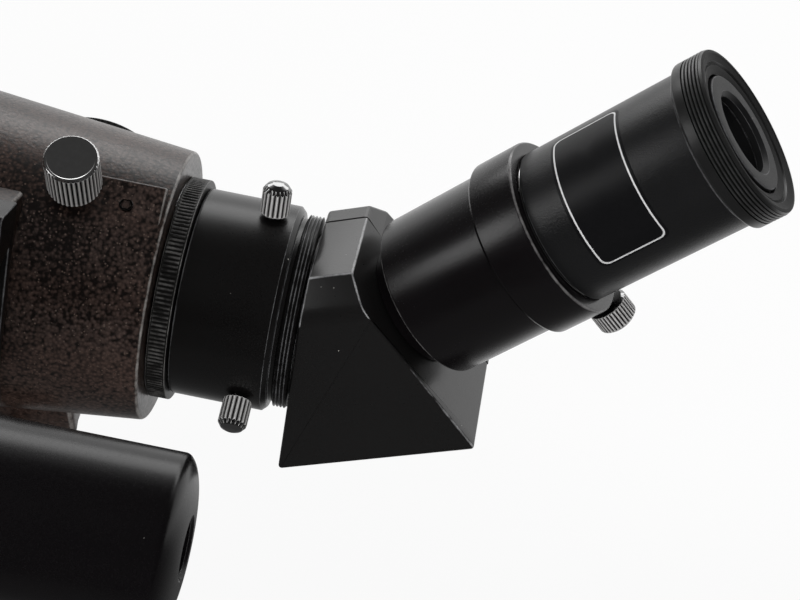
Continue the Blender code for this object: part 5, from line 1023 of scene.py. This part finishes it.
plate = {"radius": 12.4, "opening": 8.2, "front": 89.94, "rear": 92.24, "chamfer": 0.9}
plateLine = softLine([
    (plate["opening"] + plate["chamfer"], plate["rear"], 0.3), (plate["radius"], plate["rear"], 0.4),
    (plate["radius"], plate["front"], 0.2), (plate["opening"], plate["front"], 0.1),
    (plate["opening"], plate["rear"] - plate["chamfer"], 0.2)])
addTurned("eyePlate", plateLine, eyeAxis, 112, plateGrey, "eyepiece", "eye_plate", "satin_black")

fieldLens = {"radius": 12.1, "front": 48.04, "rear": 52.04, "frontCurve": 35.0, "rearCurve": 0}
eyeLens = {"radius": 10.7, "front": 81.1, "rear": 85.1, "frontCurve": 28.0, "rearCurve": 28.0}
addLens("fieldLens", "field_lens", fieldLens, eyeAxis, "eyepiece", eyeGlass)
addLens("eyeLens", "eye_lens", eyeLens, eyeAxis, "eyepiece", eyeGlass)
print("eyepiece built")

# Finder shoe, bracket and scope
shoe = {"halfWidth": 26.0, "seat": 37.1, "floor": 40.1, "top": 47.7, "floorHalf": 17.4, "mouthHalf": 14.4,
        "front": -66.0, "rear": -26.0, "softness": 0.4}
shoeOutline = softLine([
    (-shoe["halfWidth"], shoe["seat"], 0.5), (-shoe["halfWidth"], shoe["top"], 1.4),
    (-shoe["mouthHalf"], shoe["top"], 0.5), (-shoe["floorHalf"], shoe["floor"], 0.2),
    (shoe["floorHalf"], shoe["floor"], 0.2), (shoe["mouthHalf"], shoe["top"], 0.5),
    (shoe["halfWidth"], shoe["top"], 1.4), (shoe["halfWidth"], shoe["seat"], 0.5)])
shoeMesh = carriedMesh("finderShoe", shoeOutline, shoe["front"], shoe["rear"], shoeAxis, acrossUpAlong,
                       shoe["softness"])
addPiece("finderShoe", shoeMesh, satinBlack, "base", ["finder_shoe"])

shoeClamp = {
    "along": -46.0, "height": 43.9, "radius": 5.0, "base": 27.0, "top": 35.0, "shank": 1.9, "tip": 16.6,
    "foot": (4.3, 0.5), "crown": [(0, 0, 0), (3.6, 0.1, 0.6)], "rim": (1.1, 0.6), "bare": (1.7, 1.1),
    "soft": (0.3, 0.2, 0, 0.2), "flutes": 30, "depth": 0.4, "fluted": (0.4, 1.0), "sideFrom": 4.4,
    "count": 240,
}
clampAxis = inside(shoeAxis, (shoeClamp["height"], 0, shoeClamp["along"]), (1, 0, 0), (0, 1, 0))
addBrightScrew("shoeClampScrew", shoeClamp, clampAxis, "shoe_clamp", "shoe_clamp_screw", chromeShadedCopy)

bracket = {"radius": 23.0, "bore": 18.5, "rear": -32.0, "front": -60.0, "stemHalf": 5.0, "stemFront": -56.0,
           "stemRear": -36.0, "stemBottom": 45.0, "stemTop": 89.0, "stemCorner": 1.6, "stemSoft": 0.8,
           "footBottom": 40.4, "footTop": 47.6, "footHalf": 16.95, "footTopHalf": 14.05, "footFront": -63.0,
           "footRear": -29.0, "footSoft": 0.4}
bracketLine = softLine([(bracket["radius"], bracket["rear"], 1.2),
                        (bracket["radius"], bracket["front"], 1.2),
                        (bracket["bore"], bracket["front"], 0.6), (bracket["bore"], bracket["rear"], 0.6)])
addTurned("bracketRing", bracketLine, finderAxis, 128, tubePaint, "finder", "finder_bracket", "black_paint")
stemOutline = boxOutline(bracket["stemFront"], -bracket["stemHalf"], bracket["stemRear"],
                         bracket["stemHalf"], bracket["stemCorner"])
stemMesh = carriedMesh("bracketStem", stemOutline, bracket["stemBottom"], bracket["stemTop"], shoeAxis,
                       alongAcrossUp, bracket["stemSoft"])
addPiece("bracketStem", stemMesh, tubePaint, "finder")
footOutline = softLine([
    (-bracket["footHalf"], bracket["footBottom"], 0.3), (-bracket["footTopHalf"], bracket["footTop"], 0.4),
    (bracket["footTopHalf"], bracket["footTop"], 0.4), (bracket["footHalf"], bracket["footBottom"], 0.3)])
footMesh = carriedMesh("bracketFoot", footOutline, bracket["footFront"], bracket["footRear"], shoeAxis,
                       acrossUpAlong, bracket["footSoft"])
addPiece("bracketFoot", footMesh, tubePaint, "finder")

packing = {"middle": 16.25, "section": 1.95, "along": -36.0}
packingTurn = np.linspace(0, -2 * math.pi, 24, endpoint=False)
packingLine = np.column_stack([packing["middle"] + packing["section"] * np.cos(packingTurn),
                               packing["along"] + packing["section"] * np.sin(packingTurn), packingTurn * 0])
addTurned("finderRubberRing", packingLine, finderAxis, 96, cupRubber, "finder", "finder_rubber_ring",
          "rubber")

aimScrew = {
    "along": -54.0, "radius": 4.5, "base": 24.2, "top": 32.2, "shank": 2.0, "tip": 14.3, "foot": (3.6, 0.5),
    "crown": [(0, 0, 0), (3.2, 0.1, 0.6)], "rim": (1.0, 0.6), "bare": (1.6, 1.1), "soft": (0.3, 0.3, 0, 0.4),
    "flutes": 26, "depth": 0.4, "fluted": (0.4, 1.0), "count": 208, "angles": {"left": -55, "right": 55},
}
for side, angle in aimScrew["angles"].items():
    addTurned("aimScrew." + side, handScrewLine(aimScrew), radialAxis(finderAxis, angle, aimScrew["along"]),
              aimScrew["count"], knobBlack, "aim_screw_" + side, "finder_aim_screw_" + side, "black_plastic",
              ring=False, ripple=screwFlutes(aimScrew))

springPin = {"radius": 3.0, "outer": 28.8, "shoulder": 15.4, "nose": 1.6, "tip": 14.3}
pinLine = softLine([
    (0, springPin["outer"]), (springPin["radius"], springPin["outer"], 0.3),
    (springPin["radius"], springPin["shoulder"], 1.2), (springPin["nose"], springPin["tip"], 0.8),
    (0, springPin["tip"])], closed=False)
addTurned("finderSpringPin", pinLine, radialAxis(finderAxis, 180, aimScrew["along"]), 48, screwSteel,
          "finder", "finder_spring_pin", "steel", ring=False)

finderTube = {"radius": 14.0, "bore": 12.8, "rear": -14.0, "front": -150.0}
finderTubeLine = softLine([
    (finderTube["radius"], finderTube["rear"], 0.2), (finderTube["radius"], finderTube["front"], 0.2),
    (finderTube["bore"], finderTube["front"], 0.2), (finderTube["bore"], finderTube["rear"], 0.2)])
addTurned("finderTube", finderTubeLine, finderAxis, 112, tubePaint, "finder", "finder_tube", "black_paint")

# The dome at its end is a quarter of an ellipse, from the opening's rim to the sleeve
finderRear = {"radius": 15.2, "end": 25.4, "round": 3.2, "crown": 9.5, "front": -26.0, "sleeve": 14.3,
              "sleeveRear": -13.7, "bore": 11.0, "boreRear": 18.0, "opening": 5.0}
domeTurn = np.linspace(math.pi / 2, 0, 19)
domeLine = np.column_stack([finderRear["radius"] - finderRear["crown"] * (1 - np.cos(domeTurn)),
                            finderRear["end"] - finderRear["round"] * (1 - np.sin(domeTurn)), domeTurn * 0])
sleeveLine = softLine([
    (finderRear["radius"], finderRear["front"] + 1), (finderRear["radius"], finderRear["front"], 0.4),
    (finderRear["sleeve"], finderRear["front"], 0.2), (finderRear["sleeve"], finderRear["sleeveRear"]),
    (finderRear["bore"], finderRear["sleeveRear"]), (finderRear["bore"], finderRear["boreRear"]),
    (finderRear["opening"], finderRear["boreRear"]), (finderRear["opening"], finderRear["end"] - 0.5, 0.2),
    (finderRear["opening"] + 0.5, finderRear["end"])], closed=False)
addTurned("finderEyepiece", np.vstack([domeLine, sleeveLine]), finderAxis, 144, finderBlack, "finder",
          "finder_eyepiece", "black_plastic")

finderCell = {"radius": 19.0, "rear": -144.6, "front": -179.6, "shoulder": 17.0, "shoulderLength": 2.0,
              "bore": 15.6, "seat": -158.0, "clear": 13.4, "sleeve": 14.3, "sleeveFront": -150.3,
              "knurlRear": -150.0, "knurlFront": -158.0, "knurlFrom": 18.8, "ridges": 60, "depth": 0.35}
finderCellLine = softLine([
    (finderCell["shoulder"], finderCell["rear"], 0.3),
    (finderCell["radius"], finderCell["rear"] - finderCell["shoulderLength"], 0.6),
    (finderCell["radius"], finderCell["knurlRear"]), (finderCell["radius"], finderCell["knurlRear"] - 0.6),
    (finderCell["radius"], finderCell["knurlFront"] + 0.6), (finderCell["radius"], finderCell["knurlFront"]),
    (finderCell["radius"], finderCell["front"], 0.8), (finderCell["bore"], finderCell["front"], 0.4),
    (finderCell["bore"], finderCell["seat"]), (finderCell["clear"], finderCell["seat"]),
    (finderCell["clear"], finderCell["sleeveFront"]), (finderCell["sleeve"], finderCell["sleeveFront"]),
    (finderCell["sleeve"], finderCell["rear"], 0.2)])
cellKnurl = knurl(finderCell["ridges"], finderCell["depth"], finderCell["knurlFront"] - 0.2,
                  finderCell["knurlRear"] + 0.2, finderCell["knurlFrom"])
addTurned("finderObjectiveCell", finderCellLine, finderAxis, finderCell["ridges"] * 6, finderBlack,
          "finder_cell", "finder_objective_cell", "black_plastic", ripple=cellKnurl)

lockRing = {"radius": 17.0, "bore": 14.3, "rear": -138.8, "front": -144.3, "ridges": 48, "depth": 0.4,
            "knurlFrom": 16.8}
lockRingLine = softLine([
    (lockRing["radius"], lockRing["rear"], 0.4), (lockRing["radius"], lockRing["rear"] - 0.7),
    (lockRing["radius"], lockRing["rear"] - 1.2), (lockRing["radius"], lockRing["front"] + 1.2),
    (lockRing["radius"], lockRing["front"] + 0.7), (lockRing["radius"], lockRing["front"], 0.4),
    (lockRing["bore"], lockRing["front"], 0.2), (lockRing["bore"], lockRing["rear"], 0.2)])
lockRingKnurl = knurl(lockRing["ridges"], lockRing["depth"], lockRing["front"] + 0.4, lockRing["rear"] - 0.4,
                      lockRing["knurlFrom"])
addTurned("finderLockRing", lockRingLine, finderAxis, lockRing["ridges"] * 6, knobBlack, "finder_lock_ring",
          "finder_lock_ring", "black_plastic", ripple=lockRingKnurl)

finderLens = {"radius": 15.3, "front": -161.8, "rear": -158.3, "frontCurve": 90.0, "rearCurve": 0}
finderEyeLens = {"radius": 10.7, "front": 13.1, "rear": 16.6, "frontCurve": 30.0, "rearCurve": 30.0}
addLens("finderLens", "finder_lens", finderLens, finderAxis, "finder_cell", coatedGlass)
addLens("finderEyeLens", "finder_eye_lens", finderEyeLens, finderAxis, "finder", eyeGlass)
print("finder built")

# Solids that keep their shape get a finish of their own
keptFinishes = {
    "dovetail_bar": satinBlack, "saddle": satinBlack, "pinion_cover": satinBlack,
    "diagonal_cover": caseBlack, "saddle_bolt_1": screwSteel, "saddle_bolt_2": screwSteel,
    "nut_plate": screwSteel, "shoe_fixing_screw_1": screwSteel, "shoe_fixing_screw_2": screwSteel,
    "diagonal_screw_1": screwSteel, "diagonal_screw_2": screwSteel,
    "rack": gearBrass, "pinion_gear": gearBrass, "tube_baffle": matteInner, "prism": coatedGlass,
}
for node, finish in keptFinishes.items():
    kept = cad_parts[node]
    kept.data.materials.clear()
    kept.data.materials.append(finish)

# Camera: where the photograph was taken from
camera = {"target": (218.93, 7.77, 65.84), "turn": 2.73, "rise": 61.19, "roll": 8.93,
          "distance": 408.06, "focalPixels": 1875.66, "sensor": 36.0, "picturePixels": 800}
turn, rise, roll = (math.radians(camera[k]) for k in ("turn", "rise", "roll"))
backward = np.array([math.sin(turn) * math.cos(rise), -math.cos(turn) * math.cos(rise), math.sin(rise)])
level = np.cross((0, 0, 1), backward)
level = level / np.linalg.norm(level)
upright = np.cross(backward, level)
rightWay = math.cos(roll) * level + math.sin(roll) * upright
upWay = -math.sin(roll) * level + math.cos(roll) * upright
stand = (np.array(camera["target"]) + backward * camera["distance"]) * mm
lensData = bpy.data.cameras.new("photoCamera")
lensData.sensor_width = camera["sensor"]
lensData.lens = camera["focalPixels"] * camera["sensor"] / camera["picturePixels"]
lensData.clip_start = 0.01
lensData.clip_end = 60.0
viewer = bpy.data.objects.new("photoCamera", lensData)
bpy.context.scene.collection.objects.link(viewer)
pose = np.eye(4)
pose[:3, :3] = np.column_stack([rightWay, upWay, backward])
pose[:3, 3] = stand
viewer.matrix_world = Matrix(pose.tolist())
bpy.context.scene.camera = viewer

# Floor: white to the camera, and in reflections white under the object and behind it. In front and to the
# left its colour and its glow in reflections are painted darker, a painted falloff of light; it keeps the
# shadow
studio = {
    "floorSize": 24.0, "floorHeight": -0.001, "floorGlow": 0.94,
    "frontPaintedShade": 0.12, "frontFrom": 0.03, "frontTo": -0.045,
    "leftPaintedShade": 0.3, "leftFrom": 0.0, "leftTo": -0.35,
    "nearLevel": 0.05, "farLevel": 1.0, "farFrom": 0.42, "farTo": 0.82, "lowFrom": 0.72, "lowTo": 0.25,
}
half = studio["floorSize"] / 2
across = np.array([-half, half])
floorPoints = np.array([(x, y, studio["floorHeight"]) for y in across for x in across])
floorMesh = bpy.data.meshes.new("paleFloor")
floorMesh.from_pydata(floorPoints.tolist(), [], [[0, 1, 3, 2]])
floor = bpy.data.objects.new("paleFloor", floorMesh)
bpy.context.scene.collection.objects.link(floor)
floorPaint = bpy.data.materials.new("paleFloor")
floorPaint.use_nodes = True
tree = floorPaint.node_tree
tree.nodes["Principled BSDF"].inputs["Roughness"].default_value = 0.9
floorWhere = addNode(tree, "ShaderNodeSeparateXYZ")
tree.links.new(addNode(tree, "ShaderNodeTexCoord").outputs["Object"], floorWhere.inputs["Vector"])
# Painted shade: the floor's colour and its glow in reflections fall off towards the front and to the left
front = mapRange(tree, floorWhere.outputs["Y"], (studio["frontTo"], studio["frontFrom"]),
                 (studio["frontPaintedShade"], 1.0), eased=True)
beside = mapRange(tree, floorWhere.outputs["X"], (studio["leftTo"], studio["leftFrom"]),
                  (studio["leftPaintedShade"], 1.0), eased=True)
floorPaintedFalloff = maths(tree, "MULTIPLY", front, beside)
floorColourWithPaintedFalloff = mixColour(tree, floorPaintedFalloff, (0.02, 0.02, 0.02), (0.86, 0.86, 0.86))
tree.links.new(floorColourWithPaintedFalloff, tree.nodes["Principled BSDF"].inputs["Base Color"])
glow = addNode(tree, "ShaderNodeEmission")
rays = addNode(tree, "ShaderNodeLightPath")
tree.links.new(maths(tree, "MAXIMUM", floorPaintedFalloff, rays.outputs["Is Camera Ray"]), glow.inputs["Strength"])
blendFloor = addNode(tree, "ShaderNodeMixShader")
seen = maths(tree, "ADD", maths(tree, "ADD", rays.outputs["Is Camera Ray"], rays.outputs["Is Glossy Ray"]),
             rays.outputs["Is Transmission Ray"], clamp=True)
tree.links.new(maths(tree, "MULTIPLY", seen, studio["floorGlow"]), blendFloor.inputs["Fac"])
tree.links.new(tree.nodes["Principled BSDF"].outputs["BSDF"], blendFloor.inputs[1])
tree.links.new(glow.outputs["Emission"], blendFloor.inputs[2])
tree.links.new(blendFloor.outputs["Shader"], tree.nodes["Material Output"].inputs["Surface"])
floorMesh.materials.append(floorPaint)

# World: white to the camera, and a white backdrop low on the far side that fades upwards and to the front
world = bpy.data.worlds.new("studioWorld")
bpy.context.scene.world = world
world.use_nodes = True
tree = world.node_tree
shade = tree.nodes["Background"]
aim = addNode(tree, "ShaderNodeTexCoord")
parts = addNode(tree, "ShaderNodeSeparateXYZ")
tree.links.new(aim.outputs["Generated"], parts.inputs["Vector"])
farSide = mapRange(tree, parts.outputs["Y"], (studio["farFrom"], studio["farTo"]), eased=True)
lowDown = mapRange(tree, parts.outputs["Z"], (studio["lowFrom"], studio["lowTo"]), eased=True)
bright = maths(tree, "MULTIPLY", farSide, lowDown)
strength = maths(tree, "MULTIPLY", bright, studio["farLevel"] - studio["nearLevel"])
backdrop = maths(tree, "ADD", strength, studio["nearLevel"])
rays = addNode(tree, "ShaderNodeLightPath")
tree.links.new(maths(tree, "MAXIMUM", backdrop, rays.outputs["Is Camera Ray"]), shade.inputs["Strength"])
shade.inputs["Color"].default_value = (1, 1, 1, 1)

# The two softboxes show in glossy surfaces; the fills are left out of them
lamps = {
    "farSoftbox": {"at": (0.12, 0.95, 0.27), "towards": (0.17, 0.0, 0.07),
                   "size": (1.9, 0.42), "power": 6.5, "mirrored": True},
    "leftSoftbox": {"at": (-0.56, -0.27, 0.48), "towards": (0.27, 0.02, 0.12),
                    "size": (0.34, 0.5), "power": 1.7, "mirrored": True},
    "overheadFill": {"at": (0.18, -0.15, 1.2), "towards": (0.18, 0.0, 0.07),
                     "size": (1.0, 1.0), "power": 7.0, "mirrored": False},
    "nearFill": {"at": (0.45, -0.85, 0.45), "towards": (0.2, 0.0, 0.08),
                 "size": (0.6, 0.6), "power": 4.8, "mirrored": False},
}
for name, lamp in lamps.items():
    data = bpy.data.lights.new(name, "AREA")
    data.shape = "RECTANGLE"
    data.size, data.size_y = lamp["size"]
    data.energy = lamp["power"]
    light = bpy.data.objects.new(name, data)
    bpy.context.scene.collection.objects.link(light)
    light.visible_glossy = lamp["mirrored"]
    away = np.array(lamp["at"]) - np.array(lamp["towards"])
    away = away / np.linalg.norm(away)
    side = np.cross((0, 0, 1), away)
    side = side / np.linalg.norm(side)
    turnBy = np.eye(4)
    turnBy[:3, :3] = np.column_stack([side, np.cross(away, side), away])
    turnBy[:3, 3] = lamp["at"]
    light.matrix_world = Matrix(turnBy.tolist())

bpy.context.scene.view_settings.view_transform = "Standard"
print("studio ready")
